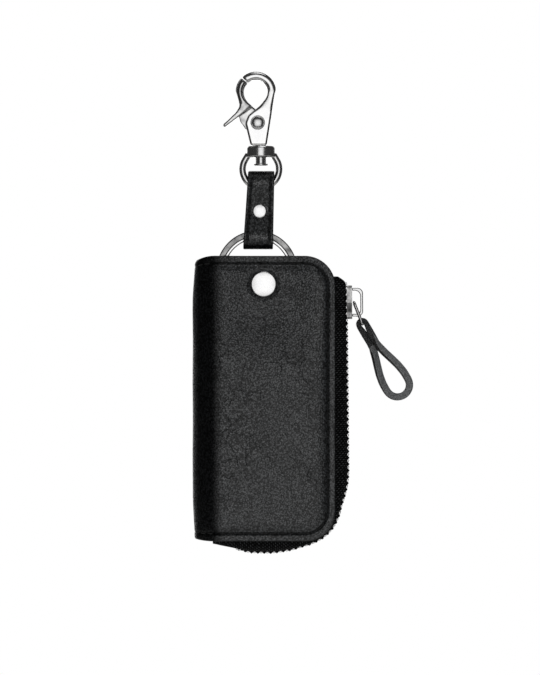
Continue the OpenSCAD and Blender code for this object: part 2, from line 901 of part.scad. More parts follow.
module snap_stud() {
    r = socket_d / 2;
    color(nickel)
        snap_place(-1)
            rotate_extrude($fn = fine)
                polygon([
                    [0, -stud_tip], [0.35 * stud_d, -stud_tip], [stud_d / 2, -0.7 * stud_tip],
                    [stud_d / 2, -0.5 * stud_tip], [0.44 * stud_d, -0.3 * stud_tip],
                    [0.44 * stud_d, stud_end], [0.9 * r, stud_end], [r, 0.1 * r + stud_end], [r, snap_inner],
                    [shank_r + gap, snap_inner], [shank_r + gap, 0.6 * snap_inner], [0, 0.6 * snap_inner]
                ]);
}
module snap_post() {
    r = 0.9 * snap_cap_d / 2;
    h = 0.6 * snap_cap_h;
    color(nickel)
        snap_place(-1)
            rotate_extrude($fn = fine)
                polygon([
                    [0, 0.6 * snap_inner + gap], [shank_r, 0.6 * snap_inner + gap], [shank_r, snap_face],
                    [r, snap_face], [r, snap_face + 0.4 * h], [0.8 * r, snap_face + h], [0, snap_face + h]
                ]);
}

// Split ring: two flat coils of one band, joined by a short step between them
ring_from = 200;
step_angle = 26;
end_angle = 1;
ring_bevel = 0.3;
module coil_arc(turn) {
    w = coil_t / 2;
    rotate_extrude(angle = turn, $fn = 96)
        polygon([
            [ring_in_r, ring_bevel - w], [ring_in_r + ring_bevel, -w], [ring_r - ring_bevel, -w],
            [ring_r, ring_bevel - w], [ring_r, w - ring_bevel], [ring_r - ring_bevel, w],
            [ring_in_r + ring_bevel, w], [ring_in_r, w - ring_bevel]
        ]);
}
module coil(at, from, turn) {
    translate([ring_x, at, ring_z])
        rotate([90, 0, 0])
            rotate([0, 0, from])
                coil_arc(turn);
}
module key_ring() {
    at = (coil_t + coil_gap) / 2;
    mid_r = ring_r - ring_w / 2;
    climb = atan(at / (mid_r * sin(step_angle / 2)));
    color(nickel) {
        coil(-at, ring_from + step_angle, 360 - step_angle - end_angle);
        coil(at, ring_from + step_angle + end_angle, 360 - step_angle - end_angle);
        translate([ring_x, 0, ring_z])
            rotate([0, -ring_from - step_angle / 2, 0])
                rotate([climb, 0, 0])
                    rotate([90, 0, 0])
                        rotate([0, 0, -step_angle / 2 - end_angle])
                            coil_arc(step_angle + 2 * end_angle);
    }
}

// Strap: one strip that goes round the eye above and the ring below. Its ends
// lie over each other at the back, under the rivet.
slit = 0.12;
ply_t = strap_t + slit / 2;
rivet_share = 0.52;
rivet_z = top_loop_z - rivet_share * strap_len;
rivet_x = mix(swivel_x, low_loop_x, rivet_share);
lap_half = 0.24 * strap_len;
// Length of a loop's teardrop, whose outer sides run down to the flat under the rivet
function loop_apex(r, flat_from) =
    r / sin(asin((r + strap_t) / norm([ply_t, flat_from])) - atan(ply_t / flat_from));
top_apex = 0.9 * loop_apex(top_loop_r, rivet_share * strap_len - rivet_d / 2);
low_apex = 0.98 * loop_apex(low_loop_r, (1 - rivet_share) * strap_len - rivet_d / 2);
secant_angle = 9;
// Bars across the strap, drawn in the YZ plane: a teardrop and a flat one
module cross_bar() {
    rotate([90, 0, 90])
        linear_extrude(2 * strap_low_w, center = true)
            children();
}
module drop_bar(r, reach, z, way) {
    a = asin(r / reach) - secant_angle;
    translate([0, 0, z]) {
        rotate([0, 90, 0])
            cylinder(h = 2 * strap_low_w, r = r, center = true, $fn = fine);
        cross_bar()
            polygon([
                [-r * cos(a), -way * r * sin(a)], [0, -way * reach], [r * cos(a), -way * r * sin(a)],
                [0, way * r / 2]
            ]);
    }
}
module flat_bar(from_y, to_y, from_z, to_z) {
    cross_bar()
        polygon([[from_y, from_z], [to_y, from_z], [to_y, to_z], [from_y, to_z]]);
}
module strap_side() {
    top_out = (top_loop_r + strap_t) / top_loop_r;
    low_out = (low_loop_r + strap_t) / low_loop_r;
    difference() {
        union() {
            drop_bar(top_out * top_loop_r, top_out * top_apex, top_loop_z, 1);
            drop_bar(low_out * low_loop_r, low_out * low_apex, low_loop_z, -1);
            flat_bar(-ply_t, ply_t, low_loop_z, top_loop_z);
            flat_bar(0, ply_t + strap_t, rivet_z - lap_half, rivet_z + lap_half);
        }
        drop_bar(top_loop_r, top_apex, top_loop_z, 1);
        drop_bar(low_loop_r, low_apex, low_loop_z, -1);
        flat_bar(-slit / 2, slit / 2, low_loop_z, top_loop_z);
    }
}
function strap_edge(z, side) =
    let (t = (top_loop_z - z) / strap_len)
    mix(swivel_x, low_loop_x, t) + side * mix(strap_top_w, strap_low_w, t) / 2;
module strap() {
    high = top_loop_z + top_loop_r + strap_t + over;
    low = low_loop_z - low_loop_r - strap_t - over;
    color(black_leather)
        difference() {
            intersection() {
                translate([swivel_x, 0, 0])
                    strap_side();
                upright(spine_depth)
                    polygon([
                        [strap_edge(high, -1), high], [strap_edge(low, -1), low],
                        [strap_edge(low, 1), low], [strap_edge(high, 1), high]
                    ]);
            }
            translate([rivet_x, 0, rivet_z])
                rotate([90, 0, 0])
                    cylinder(h = spine_depth, r = rivet_hole_r, center = true, $fn = 24);
        }
}

// Rivet through the strap: a domed cap with its shank in front, a flat cap behind
rivet_shank_r = 1.2;
rivet_hole_r = rivet_shank_r + gap;
rivet_front = ply_t + gap;
rivet_back = ply_t + strap_t + gap;
module rivet_place(side) {
    translate([rivet_x, 0, rivet_z])
        rotate([side * 90, 0, 0])
            children();
}
module strap_rivet_cap() {
    r = rivet_d / 2;
    h = 0.26 * rivet_d;
    color(bright_nickel)
        rivet_place(1)
            rotate_extrude($fn = fine)
                polygon(concat(
                    [[0, -rivet_back / 2], [0.8 * rivet_shank_r, -rivet_back / 2], [0.8 * rivet_shank_r, 0]],
                    [[rivet_shank_r, 0], [rivet_shank_r, rivet_front], [r, rivet_front], [r, rivet_front + 0.25 * h]],
                    [for (i = [0:5]) [0.88 * r * cos(18 * i), rivet_front + h * mix(0.3, 1, sin(18 * i))]]
                ));
}
module strap_rivet_post() {
    r = rivet_d / 2;
    h = 0.16 * rivet_d;
    color(nickel)
        rivet_place(-1)
            rotate_extrude($fn = fine)
                polygon([
                    [0.8 * rivet_shank_r + fit, gap], [rivet_shank_r, gap], [rivet_shank_r, rivet_back],
                    [r, rivet_back], [r, rivet_back + 0.4 * h], [0.85 * r, rivet_back + h],
                    [0, rivet_back + h], [0, 0.6 * rivet_back], [0.8 * rivet_shank_r + fit, 0.6 * rivet_back]
                ]);
}

// Swivel eye: a collar that turns on the shank, and a wire loop under it
arm_angle = 25;
arm_lean = 30;
module swivel_eye() {
    arm_foot = eye_r * [cos(arm_angle), sin(arm_angle)];
    arm_len = (eye_drop + 0.4 * collar_h - arm_foot[1]) / cos(arm_lean);
    color(nickel)
        translate([swivel_x, 0, 0])
            difference() {
                union() {
                    translate([0, 0, collar_foot])
                        rotate_extrude($fn = 64)
                            polygon([
                                [0, 0], [0.44 * collar_d, 0], [0.5 * collar_d, 0.14 * collar_h],
                                [0.5 * collar_d, 0.86 * collar_h], [0.46 * collar_d, collar_h], [0, collar_h]
                            ]);
                    translate([0, 0, eye_z])
                        rotate([90, 0, 0])
                            rotate([0, 0, -180 - arm_angle])
                                rotate_extrude(angle = 180 + 2 * arm_angle, $fn = 96)
                                    translate([eye_r, 0])
                                        circle(d = eye_wire_d, $fn = 32);
                    for (side = [-1, 1])
                        translate([side * arm_foot[0], 0, eye_z + arm_foot[1]])
                            rotate([0, -side * arm_lean, 0])
                                translate([0, 0, -eye_wire_d / 4])
                                    cylinder(h = arm_len, d = eye_wire_d - gap, $fn = 32);
                }
                translate([0, 0, collar_foot - over])
                    cylinder(h = collar_h + 2 * over, d = shank_d + 4 * gap, $fn = fine);
            }
}

// Swivel stud: its shank turns in the collar and its upper end sits in the hook body
stud_root = 0.45 * collar_h;
module swivel_stud() {
    foot = collar_foot - flange_play - flange_t;
    color(nickel)
        translate([swivel_x, 0, foot])
            rotate_extrude($fn = fine)
                polygon([
                    [0, 0], [0.4 * flange_d, 0], [0.5 * flange_d, 0.3 * flange_t],
                    [0.5 * flange_d, flange_t], [0.5 * shank_d, flange_t],
                    [0.5 * shank_d, stud_root - hook_len - foot], [0, stud_root - hook_len - foot]
                ]);
}

// Hook body: round bar from the nose to the right side, then the tapering cheeks.
// Shares are of the opening's radius, from the opening's centre.
nose_angle = 133;
bar_end = 3;
hook_out_r = hook_r + hook_bar;
hook_bevel = 0.9;
body_bevel = 0.6;
foot_half = 3.1;
cheek_left = -4.2;
function on_circle(r, a) = [r * cos(a), r * sin(a), 0];
body_corners = [
    [0.92 * hook_out_r, -0.12 * hook_out_r, 0.57 * hook_bar],
    on_circle(hook_out_r, bar_end + 3),
    for (a = [bar_end + 5:-8:-40]) on_circle(hook_r + fit, a),
    [0.28 * hook_r, -1.24 * hook_r, 0.23 * hook_bar],
    [0.73 * cheek_left, 0.77 * pivot[1], 0.63 * hook_bar],
    [cheek_left, 1.02 * pivot[1], 0.63 * hook_bar],
    [swivel_x - 1.3 * foot_half, -hook_len, 0.26 * hook_bar],
    [swivel_x + 0.75 * foot_half, -hook_len, 0.26 * hook_bar]
];
slot_gap = 0.15;
module hook_bar_arc() {
    w = hook_t / 2;
    c = hook_bevel;
    rotate([90, 0, 0])
        rotate([0, 0, bar_end])
            rotate_extrude(angle = nose_angle - bar_end, $fn = 96)
                polygon([
                    [hook_r, c - w], [hook_r + c, -w], [hook_out_r - c, -w], [hook_out_r, c - w],
                    [hook_out_r, w - c], [hook_out_r - c, w], [hook_r + c, w], [hook_r, w - c]
                ]);
}
neck_sweep_r = 3.9;
tail_sweep_r = 5.6;
module trigger_slot() {
    translate([pivot[0], 0, pivot[1]]) {
        rotate([90, 0, 0])
            cylinder(h = neck_t + 2 * slot_gap, r = neck_sweep_r, center = true, $fn = fine);
        upright(neck_t + 2 * slot_gap)
            polygon([
                [0, neck_sweep_r], [0.9 * neck_sweep_r, 0.45 * neck_sweep_r],
                [0.5 * neck_sweep_r, hook_r - pivot[1]], [-3 * neck_sweep_r, hook_r - pivot[1]],
                [-3 * neck_sweep_r, -tail_sweep_r], [-0.48 * tail_sweep_r, -tail_sweep_r],
                [0, -neck_sweep_r]
            ]);
    }
}
rivet_recess_r = 2.55;
rivet_recess = 0.45;
module hook_body() {
    color(nickel)
        difference() {
            union() {
                hook_bar_arc();
                bevel_plate(body_corners, cheek_t, body_bevel);
            }
            trigger_slot();
            translate([pivot[0], 0, pivot[1]])
                rotate([90, 0, 0]) {
                    cylinder(h = 2 * cheek_t, d = pin_d + 2 * fit, center = true, $fn = 32);
                    for (side = [-1, 1])
                        translate([0, 0, side * (cheek_t / 2 + over - rivet_recess)])
                            cylinder(h = 2 * over, r = rivet_recess_r, center = true, $fn = fine);
                }
            translate([swivel_x, 0, -hook_len - over])
                cylinder(h = stud_root + over + gap, d = shank_d + 2 * fit, $fn = fine);
        }
}

// Pivot pin with a domed head at each end, sunk in the cheeks' recesses
module trigger_pin() {
    seat = cheek_t / 2 - rivet_recess + gap;
    head = 0.85 * pin_d;
    dome = [for (i = [0:5]) [head * cos(18 * i), seat + 0.25 * pin_d * (1 + 1.4 * sin(18 * i))]];
    color(bright_nickel)
        translate([pivot[0], 0, pivot[1]])
            rotate([90, 0, 0])
                rotate_extrude($fn = 32)
                    polygon(concat(
                        [for (p = reversed(dome)) [p[0], -p[1]]],
                        [[head, -seat], [pin_d / 2, -seat], [pin_d / 2, seat], [head, seat]],
                        dome
                    ));
}

// Trigger: gate and lever are as thick as the bar, the neck is thinner.
// Shares are of the opening's radius, from the opening's centre.
gate_seam = nose_angle + 2;
gate_t = 0.92 * hook_t;
gate_bevel = 0.4;
boss_r = 2.6;
gate_inner_shares = [
    [-0.33, -1.22, 0], [-0.68, -0.94, 0], [-0.94, -0.56, 0], [-1.06, -0.18, 0],
    [-1.05, 0.16, 0], [-0.94, 0.46, 0], [-0.72, 0.72, 0]
];
lever_shares = [
    [-1.6, -0.5, 0.4], [-1.42, -1.22, 0.3], [-1.75, -1.8, 0.4], [-2.35, -2.4, 0.4],
    [-2.86, -2.85, 0.14], [-2.8, -3.17, 0.14], [-0.95, -1.76, 0.4]
];
gate_corners = concat(
    hook_r * gate_inner_shares,
    [for (i = [0:4]) on_circle(hook_out_r, gate_seam + 2 + 10 * i)],
    hook_r * lever_shares
);
neck_shares = [
    [-0.36, -1.24, 0], [-0.95, -1.7, 0], [-1.5, -2.08, 0], [-1.36, -2.62, 0.3], [-0.86, -3.34, 0.3]
];
module hook_trigger() {
    color(nickel)
        difference() {
            union() {
                bevel_plate(gate_corners, gate_t, gate_bevel, 4);
                upright(neck_t)
                    polygon(rounded(concat(
                        hook_r * neck_shares,
                        [
                            [pivot[0] + 0.3 * boss_r, pivot[1] - boss_r, 0.6 * boss_r],
                            [pivot[0] + boss_r, pivot[1] - 0.8 * boss_r, 0.6 * boss_r],
                            [pivot[0] + boss_r, pivot[1] + boss_r, 0.9 * boss_r]
                        ]
                    )));
            }
            translate([pivot[0], 0, pivot[1]])
                rotate([90, 0, 0])
                    cylinder(h = 2 * cheek_t, d = pin_d + 2 * gap, center = true, $fn = 32);
            spring_room();
        }
}

// Torsion spring round the pin, in a room cut in the trigger's boss
spring_wire = 0.4;
spring_play = 0.25;
spring_r = (pin_d + spring_wire) / 2 + spring_play;
spring_turns = 2.5;
spring_pitch = spring_wire + gap;
module spring_room() {
    translate([pivot[0], neck_t / 2 - spring_turns * spring_pitch - 2 * spring_wire, pivot[1]])
        rotate([-90, 0, 0])
            cylinder(
                h = spring_turns * spring_pitch + 3 * spring_wire + over,
                r = spring_r + 2 * spring_wire,
                $fn = fine
            );
}
spring_steps = 12;
spring_back = neck_t / 2 - spring_wire;
function spring_point(t) =
    let (a = 360 * t - 90)
    [
        pivot[0] + spring_r * cos(a),
        spring_back - spring_pitch * t,
        pivot[1] + spring_r * sin(a)
    ];
spring_route = [for (i = [0:spring_turns * spring_steps]) spring_point(i / spring_steps)];
function tube_ring(route, i, r, sides) =
    let (
        n = len(route),
        d = unit(route[min(n - 1, i + 1)] - route[max(0, i - 1)]),
        u = unit(cross(d, [0, 1, 0])),
        v = cross(u, d)
    )
    [for (k = [0:sides - 1]) route[i] + r * (u * cos(360 * k / sides) + v * sin(360 * k / sides))];
module trigger_spring() {
    color(bright_nickel)
        skin([for (i = [0:len(spring_route) - 1]) tube_ring(spring_route, i, spring_wire / 2, 6)]);
}

hook_body();
hook_trigger();
trigger_pin();
trigger_spring();
swivel_stud();
swivel_eye();
strap();
strap_rivet_cap();
strap_rivet_post();
key_ring();
back_cover();
back_padding();
back_lining();
back_zip_tape();
back_zip_teeth();
back_top_stop();
zip_bottom_stop();
snap_stud();
snap_post();
front_cover();
front_padding();
front_lining();
front_zip_tape();
front_zip_teeth();
front_top_stop();
snap_cap();
snap_socket();
slider_body();
slider_bridge();
pull_link();
pull_thong();
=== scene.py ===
import math

import bmesh
import bpy
import numpy as np
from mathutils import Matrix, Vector


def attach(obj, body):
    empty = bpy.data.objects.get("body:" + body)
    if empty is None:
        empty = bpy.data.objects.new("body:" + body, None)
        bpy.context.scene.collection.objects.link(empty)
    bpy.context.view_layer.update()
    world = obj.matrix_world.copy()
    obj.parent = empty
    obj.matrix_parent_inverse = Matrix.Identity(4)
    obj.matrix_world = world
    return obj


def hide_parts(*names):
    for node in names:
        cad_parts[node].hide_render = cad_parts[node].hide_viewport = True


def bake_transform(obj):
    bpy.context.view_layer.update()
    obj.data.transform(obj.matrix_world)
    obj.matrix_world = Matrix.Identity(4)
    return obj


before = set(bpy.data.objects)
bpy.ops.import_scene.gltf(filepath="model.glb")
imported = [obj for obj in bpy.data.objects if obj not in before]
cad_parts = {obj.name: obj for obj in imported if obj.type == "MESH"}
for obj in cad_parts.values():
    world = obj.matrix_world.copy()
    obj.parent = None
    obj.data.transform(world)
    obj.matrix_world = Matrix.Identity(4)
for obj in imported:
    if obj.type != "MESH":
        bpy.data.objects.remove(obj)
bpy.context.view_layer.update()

# Studio. The key case hangs in front of a white ground. Two soft boxes beside the
# camera light its face, weaker light comes from behind and from above, and a pale
# round floor lies below.
MM = 0.001


def at(x, y, z):
    return Vector((x * MM, y * MM, z * MM))


def aimed(obj, place, target):
    obj.location = place
    obj.rotation_euler = (target - place).to_track_quat("-Z", "Y").to_euler()
    bpy.context.scene.collection.objects.link(obj)
    return obj


VIEW_X, VIEW_Z, CAMERA_REACH = 5.46, -95.36, 1500
lens = bpy.data.cameras.new("camera")
lens.lens = 206.0
lens.clip_start, lens.clip_end = 0.05, 20
bpy.context.scene.camera = aimed(
    bpy.data.objects.new("camera", lens),
    at(VIEW_X, -CAMERA_REACH, VIEW_Z), at(VIEW_X, 0, VIEW_Z),
)
bpy.context.scene.view_settings.view_transform = "Standard"
LIT_MIDDLE = (5, 0, -90)


def soft_box(name, place, size, power):
    lamp = bpy.data.lights.new(name, "AREA")
    lamp.shape = "RECTANGLE"
    lamp.size = lamp.size_y = size
    lamp.energy = power
    aimed(bpy.data.objects.new(name, lamp), at(*place), at(*LIT_MIDDLE))


soft_box("front_box", (40, -1900, -60), 1.5, 6.2)
soft_box("front_core", (40, -1880, -40), 0.8, 0.7)
soft_box("back_box", (-200, 1700, 300), 1.4, 6.0)
soft_box("top_box", (200, -300, 1500), 0.9, 3.2)


def wire(tree, pairs):
    for source, target in pairs:
        tree.links.new(source, target)


def ramp(tree, source, low, high, start=0.0, end=1.0):
    node = tree.nodes.new("ShaderNodeMapRange")
    node.inputs["From Min"].default_value = start
    node.inputs["From Max"].default_value = end
    node.inputs["To Min"].default_value = low
    node.inputs["To Max"].default_value = high
    tree.links.new(source, node.inputs["Value"])
    return node.outputs["Result"]


ROOM_LEVEL, ROOM_DARK, WHITE_FROM = 0.35, 0.035, 0.72
world = bpy.data.worlds.new("surroundings")
bpy.context.scene.world = world
world.use_nodes = True
sky = world.node_tree
way = sky.nodes.new("ShaderNodeTexCoord")
parts = sky.nodes.new("ShaderNodeSeparateXYZ")
wire(sky, [(way.outputs["Generated"], parts.inputs[0])])
mirrored = ramp(sky, parts.outputs["Y"], ROOM_DARK, 1.0, start=WHITE_FROM)
rays = sky.nodes.new("ShaderNodeLightPath")
seen = None
for ray in ("Is Glossy Ray", "Is Camera Ray", "Is Transmission Ray"):
    step = sky.nodes.new("ShaderNodeMix")
    step.inputs["A"].default_value, step.inputs["B"].default_value = ROOM_LEVEL, 1
    follows = (mirrored, step.inputs["B"]) if seen is None else (seen, step.inputs["A"])
    wire(sky, [(rays.outputs[ray], step.inputs["Factor"]), follows])
    seen = step.outputs["Result"]
wire(sky, [(seen, sky.nodes["Background"].inputs["Strength"])])
sky.nodes["Background"].inputs["Color"].default_value = (1, 1, 1, 1)


def new_finish(name):
    paint = bpy.data.materials.new(name)
    paint.use_nodes = True
    tree = paint.node_tree
    return paint, tree, tree.nodes["Principled BSDF"]


FLOOR_Z, FLOOR_R, FLOOR_SIDES = -262, 340, 128
floor_turns = [2 * math.pi * i / FLOOR_SIDES for i in range(FLOOR_SIDES)]
floor_rim = [at(FLOOR_R * math.cos(a), FLOOR_R * math.sin(a), FLOOR_Z) for a in floor_turns]
floor_mesh = bpy.data.meshes.new("floor")
floor_mesh.from_pydata(floor_rim, [], [list(range(FLOOR_SIDES))])
floor = bpy.data.objects.new("floor", floor_mesh)
bpy.context.scene.collection.objects.link(floor)
floor_paint, _, floor_shader = new_finish("floor_paint")
floor_shader.inputs["Base Color"].default_value = (0.82, 0.82, 0.81, 1)
floor_shader.inputs["Roughness"].default_value = 0.8
floor_mesh.materials.append(floor_paint)

# Trigger snap. Its body and its trigger are small die castings, tumbled and
# nickel plated, so every edge is soft and the plating lies in slow ripples.
CAST_GRAIN, BAR_FADE = 0.14, 3.0
HOOK_T, CHEEK_T, CHEEK_FROM, CHEEK_RUN = 5.2, 6.0, 0.6, 7.0
HOOK_OUT, GATE_MEETS = 8.2, math.radians(132)
TIP_PUSH, TIP_RUN, TIP_BACK = 0.15, 4.0, 0.5
GATE_MIDDLE, GATE_HALF, GATE_ROUND = 6.2, 1.5, 0.92
GATE_FLAT_Z, GATE_FADE = -5.0, 3.0


def texture(tree, kind, scale, place=None, **settings):
    """A texture's grey value. Its scale counts waves in a metre."""
    node = tree.nodes.new("ShaderNodeTex" + kind)
    if place is None:
        place = tree.nodes.new("ShaderNodeTexCoord").outputs["Object"]
    wire(tree, [(place, node.inputs["Vector"])])
    node.inputs["Scale"].default_value = scale
    for key, value in settings.items():
        node.inputs[key].default_value = value
    return node.outputs["Distance" if kind == "Voronoi" else "Fac"]


def tint(tree, source, dark, light, start=0.3, end=0.7):
    node = tree.nodes.new("ShaderNodeValToRGB")
    node.color_ramp.elements[0].position = start
    node.color_ramp.elements[1].position = end
    node.color_ramp.elements[0].color = (*dark, 1)
    node.color_ramp.elements[1].color = (*light, 1)
    tree.links.new(source, node.inputs["Fac"])
    return node.outputs["Color"]


def sums(tree, terms):
    """Each grey value times its weight, added up."""
    total = None
    for source, weight in terms:
        node = tree.nodes.new("ShaderNodeMath")
        node.operation = "MULTIPLY_ADD"
        tree.links.new(source, node.inputs[0])
        node.inputs[1].default_value = weight
        node.inputs[2].default_value = 0
        if total is not None:
            tree.links.new(total, node.inputs[2])
        total = node.outputs[0]
    return total


def relief(tree, shader, height, depth):
    node = tree.nodes.new("ShaderNodeBump")
    node.inputs["Distance"].default_value = depth * MM
    wire(tree, [(height, node.inputs["Height"]), (node.outputs[0], shader.inputs["Normal"])])


def nickel(name, tone, dull, ripple=0.006, stain=0.92):
    """Nickel plate, cloudy from its tone down to the stain, and dulled by handling."""
    paint, tree, shader = new_finish(name)
    shader.inputs["Metallic"].default_value = 1
    cloud = texture(tree, "Noise", 420, Detail=3)
    handling = texture(tree, "Noise", 2600, Detail=2)
    wave = texture(tree, "Noise", 700, Detail=1)
    shade = tuple(tone * stain * c for c in (1, 1, 1.01))
    bright = tuple(tone * c for c in (1, 0.995, 0.985))
    wire(tree, [
        (tint(tree, cloud, shade, bright), shader.inputs["Base Color"]),
        (ramp(tree, handling, dull * 0.75, dull * 1.35, 0.3, 0.7), shader.inputs["Roughness"]),
    ])
    relief(tree, shader, wave, ripple)
    return paint


def put(name, mesh, finishes, body):
    obj = bpy.data.objects.new(name, mesh)
    bpy.context.scene.collection.objects.link(obj)
    for paint in finishes:
        mesh.materials.append(paint)
    mesh.shade_smooth()
    if body:
        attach(obj, body)
    return obj


def settle(obj):
    """Keep the shape that the modifiers give."""
    formed = obj.evaluated_get(bpy.context.evaluated_depsgraph_get())
    kept = bpy.data.meshes.new_from_object(formed)
    paints = list(obj.data.materials)
    obj.modifiers.clear()
    obj.data = kept
    kept.materials.clear()
    for paint in paints:
        kept.materials.append(paint)
    kept.shade_smooth()


def welded(mesh, gap):
    """Join points that lie within the gap, in metres, and turn all faces outwards."""
    shape = bmesh.new()
    shape.from_mesh(mesh)
    for edge in shape.edges:
        edge.smooth = True
    bmesh.ops.remove_doubles(shape, verts=shape.verts, dist=gap)
    bmesh.ops.recalc_face_normals(shape, faces=shape.faces)
    shape.to_mesh(mesh)
    shape.free()
    return mesh


def solid_of(node):
    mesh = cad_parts[node].data.copy()
    mesh.materials.clear()
    if "custom_normal" in mesh.attributes:
        mesh.attributes.remove(mesh.attributes["custom_normal"])
    return welded(mesh, 1e-6)


def share(x):
    return min(1, max(0, x))


def cast(name, node, body, paint, grain, rounds, full_above=None, full_rounds=0):
    """A casting: remeshed fine, its edges worn soft, and softer still above a height."""
    obj = put(name, solid_of(node), [paint], None)
    skin = obj.modifiers.new("skin", "REMESH")
    skin.mode = "VOXEL"
    skin.voxel_size = grain * MM
    if full_rounds:
        settle(obj)
        bar = obj.vertex_groups.new(name="bar")
        for spot in obj.data.vertices:
            z = spot.co.z / MM
            most = HOOK_T / 2 + (CHEEK_T - HOOK_T) / 2 * share((CHEEK_FROM - z) / CHEEK_RUN)
            spot.co.y = max(-most * MM, min(most * MM, spot.co.y))
            bar.add([spot.index], float(share((z - full_above) / BAR_FADE)), "REPLACE")
        turned = obj.modifiers.new("turned", "SMOOTH")
        turned.factor, turned.iterations, turned.vertex_group = 0.5, full_rounds, "bar"
    soft = obj.modifiers.new("soft", "SMOOTH")
    soft.factor, soft.iterations = 0.5, rounds
    settle(obj)
    if full_rounds:
        # The tips of nose and gate are drawn together, to a joint as fine as the real one.
        side = 1 if body == "hook" else -1
        for spot in obj.data.vertices:
            x, z = spot.co.x / MM, spot.co.z / MM
            round_to, out = math.atan2(z, x), math.hypot(x, z)
            from_tip = side * (GATE_MEETS - round_to) * out
            if z > 0 and out < HOOK_OUT and -TIP_BACK < from_tip < TIP_RUN:
                turn_by = side * TIP_PUSH * (1 - max(0, from_tip) / TIP_RUN) / out
                spot.co.x = out * math.cos(round_to + turn_by) * MM
                spot.co.z = out * math.sin(round_to + turn_by) * MM
    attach(obj, body)
    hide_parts(node)
    return obj


bright_nickel = nickel("bright_nickel", 0.84, 0.16)
cast(
    "snap_body", "hook_body", "hook", bright_nickel, CAST_GRAIN, rounds=14,
    full_above=-8, full_rounds=210,
)
# Painted shade: the gate takes a darker, more clouded copy of the snap body's nickel.
gate_nickel = nickel("gate_nickel", 0.76, 0.2, stain=0.5)
gate = cast(
    "snap_trigger", "hook_trigger", "trigger", gate_nickel, CAST_GRAIN, rounds=12,
    full_above=-9, full_rounds=150,
)
for spot in gate.data.vertices:
    x, z = spot.co.x / MM, spot.co.z / MM
    off = min(1, abs(math.hypot(x, z) - GATE_MIDDLE) / GATE_HALF)
    bar = share((z - GATE_FLAT_Z) / GATE_FADE) * (x < 0)
    spot.co.y *= 1 - bar * (1 - math.sqrt(1 - GATE_ROUND * off * off))

# Pivot pin and its spring. The pin is turned steel with a domed head at each
# end; the spring is a few turns of fine hard wire.
PIN = (0.7, -12.0)
PIN_R, HEAD_R, HEAD_FOOT = 0.8, 2.38, 0.1
HEAD_SEAT, HEAD_RIM, HEAD_H, HEAD_FULL = 2.6, 0.08, 0.62, 1.2
SAME_PLANE, SHARP_EDGE = math.radians(1.5), math.radians(28)


def shaped(name, points, faces):
    """A mesh from points in millimetres."""
    mesh = bpy.data.meshes.new(name)
    mesh.from_pydata([Vector(p) * MM for p in points], [], faces)
    return mesh


def lathe(name, profile, axis, paint, body, around=72):
    """A turned piece: its profile, from the back to the front, swung round an axis."""
    spots, faces = [], []
    n = len(profile)
    for i in range(around):
        a = 2 * math.pi * i / around
        spots += [(axis[0] + r * math.cos(a), -h, axis[1] + r * math.sin(a)) for r, h in profile]
        one, two = i * n, (i + 1) % around * n
        faces += [(one + j, one + j + 1, two + j + 1, two + j) for j in range(n - 1)]
    return put(name, welded(shaped(name, spots, faces), 1e-7), [paint], body)


def machined(name, node, body, paint, edge, steps=2):
    """A piece as the solid has it, with its edges broken."""
    mesh = solid_of(node)
    shape = bmesh.new()
    shape.from_mesh(mesh)
    bmesh.ops.dissolve_limit(
        shape, angle_limit=SAME_PLANE, verts=shape.verts, edges=shape.edges,
    )
    shape.to_mesh(mesh)
    shape.free()
    obj = put(name, mesh, [paint], body)
    soft = obj.modifiers.new("edge", "BEVEL")
    soft.width, soft.segments = edge * MM, steps
    soft.limit_method, soft.angle_limit = "ANGLE", SHARP_EDGE
    soft.use_clamp_overlap = True
    even = obj.modifiers.new("even", "WEIGHTED_NORMAL")
    even.keep_sharp = False
    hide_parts(node)


steel = nickel("pin_steel", 0.72, 0.2)
half_head = [
    (HEAD_R * math.cos(a), HEAD_SEAT + HEAD_RIM + HEAD_H * math.sin(a) ** HEAD_FULL)
    for a in np.radians(np.linspace(0, 90, 14))
]
half_pin = [(PIN_R, HEAD_SEAT), (HEAD_R - HEAD_FOOT, HEAD_SEAT)] + half_head
pin_profile = [(r, -h) for r, h in reversed(half_pin)] + half_pin
pivot_pin = lathe("pivot_pin", pin_profile, PIN, steel, "hook")
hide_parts("trigger_pin")
spring_wire = nickel("spring_wire", 0.5, 0.3)
machined("gate_spring", "trigger_spring", "hook", spring_wire, edge=0.03)

# Swivel. A turned stud fixed in the snap's foot carries a collar with a wire
# eye brazed to it; all of it is plated together with the snap.
grey_nickel = nickel("grey_nickel", 0.72, 0.2)
cast("swivel_eye_cast", "swivel_eye", "eye", grey_nickel, grain=0.15, rounds=3)
machined("swivel_shank", "swivel_stud", "hook", grey_nickel, edge=0.12)

# Strap. One strip of black leather, skived where it turns round the eye and the
# ring, its raw edges painted, closed at the back under a rivet and sewn down both sides.
STRAP_T, STRAP_W = 1.75, (10.4, 11.4)
STRAP_EDGE_R, STRAP_ACROSS, STRAP_STEP = 0.45, 36, 0.4
PLY_Y, LAP_Y = 0.935, 2.69
EYE_LOOP, EYE_REACH = (1.9, -35.485, 3.115), 8.8
RING_LOOP, RING_REACH = (1.0, -56.385, 3.056), 8.6
RIVET, LAP_HALF = (1.432, -46.353), 5.0
STRAP_SEAM, SEAM_PAST, SEAM_DENT, SEAM_DENT_W = 1.45, 1.6, 0.32, 0.36
SEAM_SHADE, DENT_PAST, DENT_FADE = 0.6, 2.4, 1.2
TURN_SHADE, TURN_FROM, TURN_RUN = 0.75, 0.8, 2.4
STRAP_PITCH, STRAP_STITCH, STRAP_THREAD = 2.6, 1.95, 0.42


def product(tree, one, two):
    node = tree.nodes.new("ShaderNodeMath")
    node.operation = "MULTIPLY"
    wire(tree, [(one, node.inputs[0]), (two, node.inputs[1])])
    return node.outputs[0]


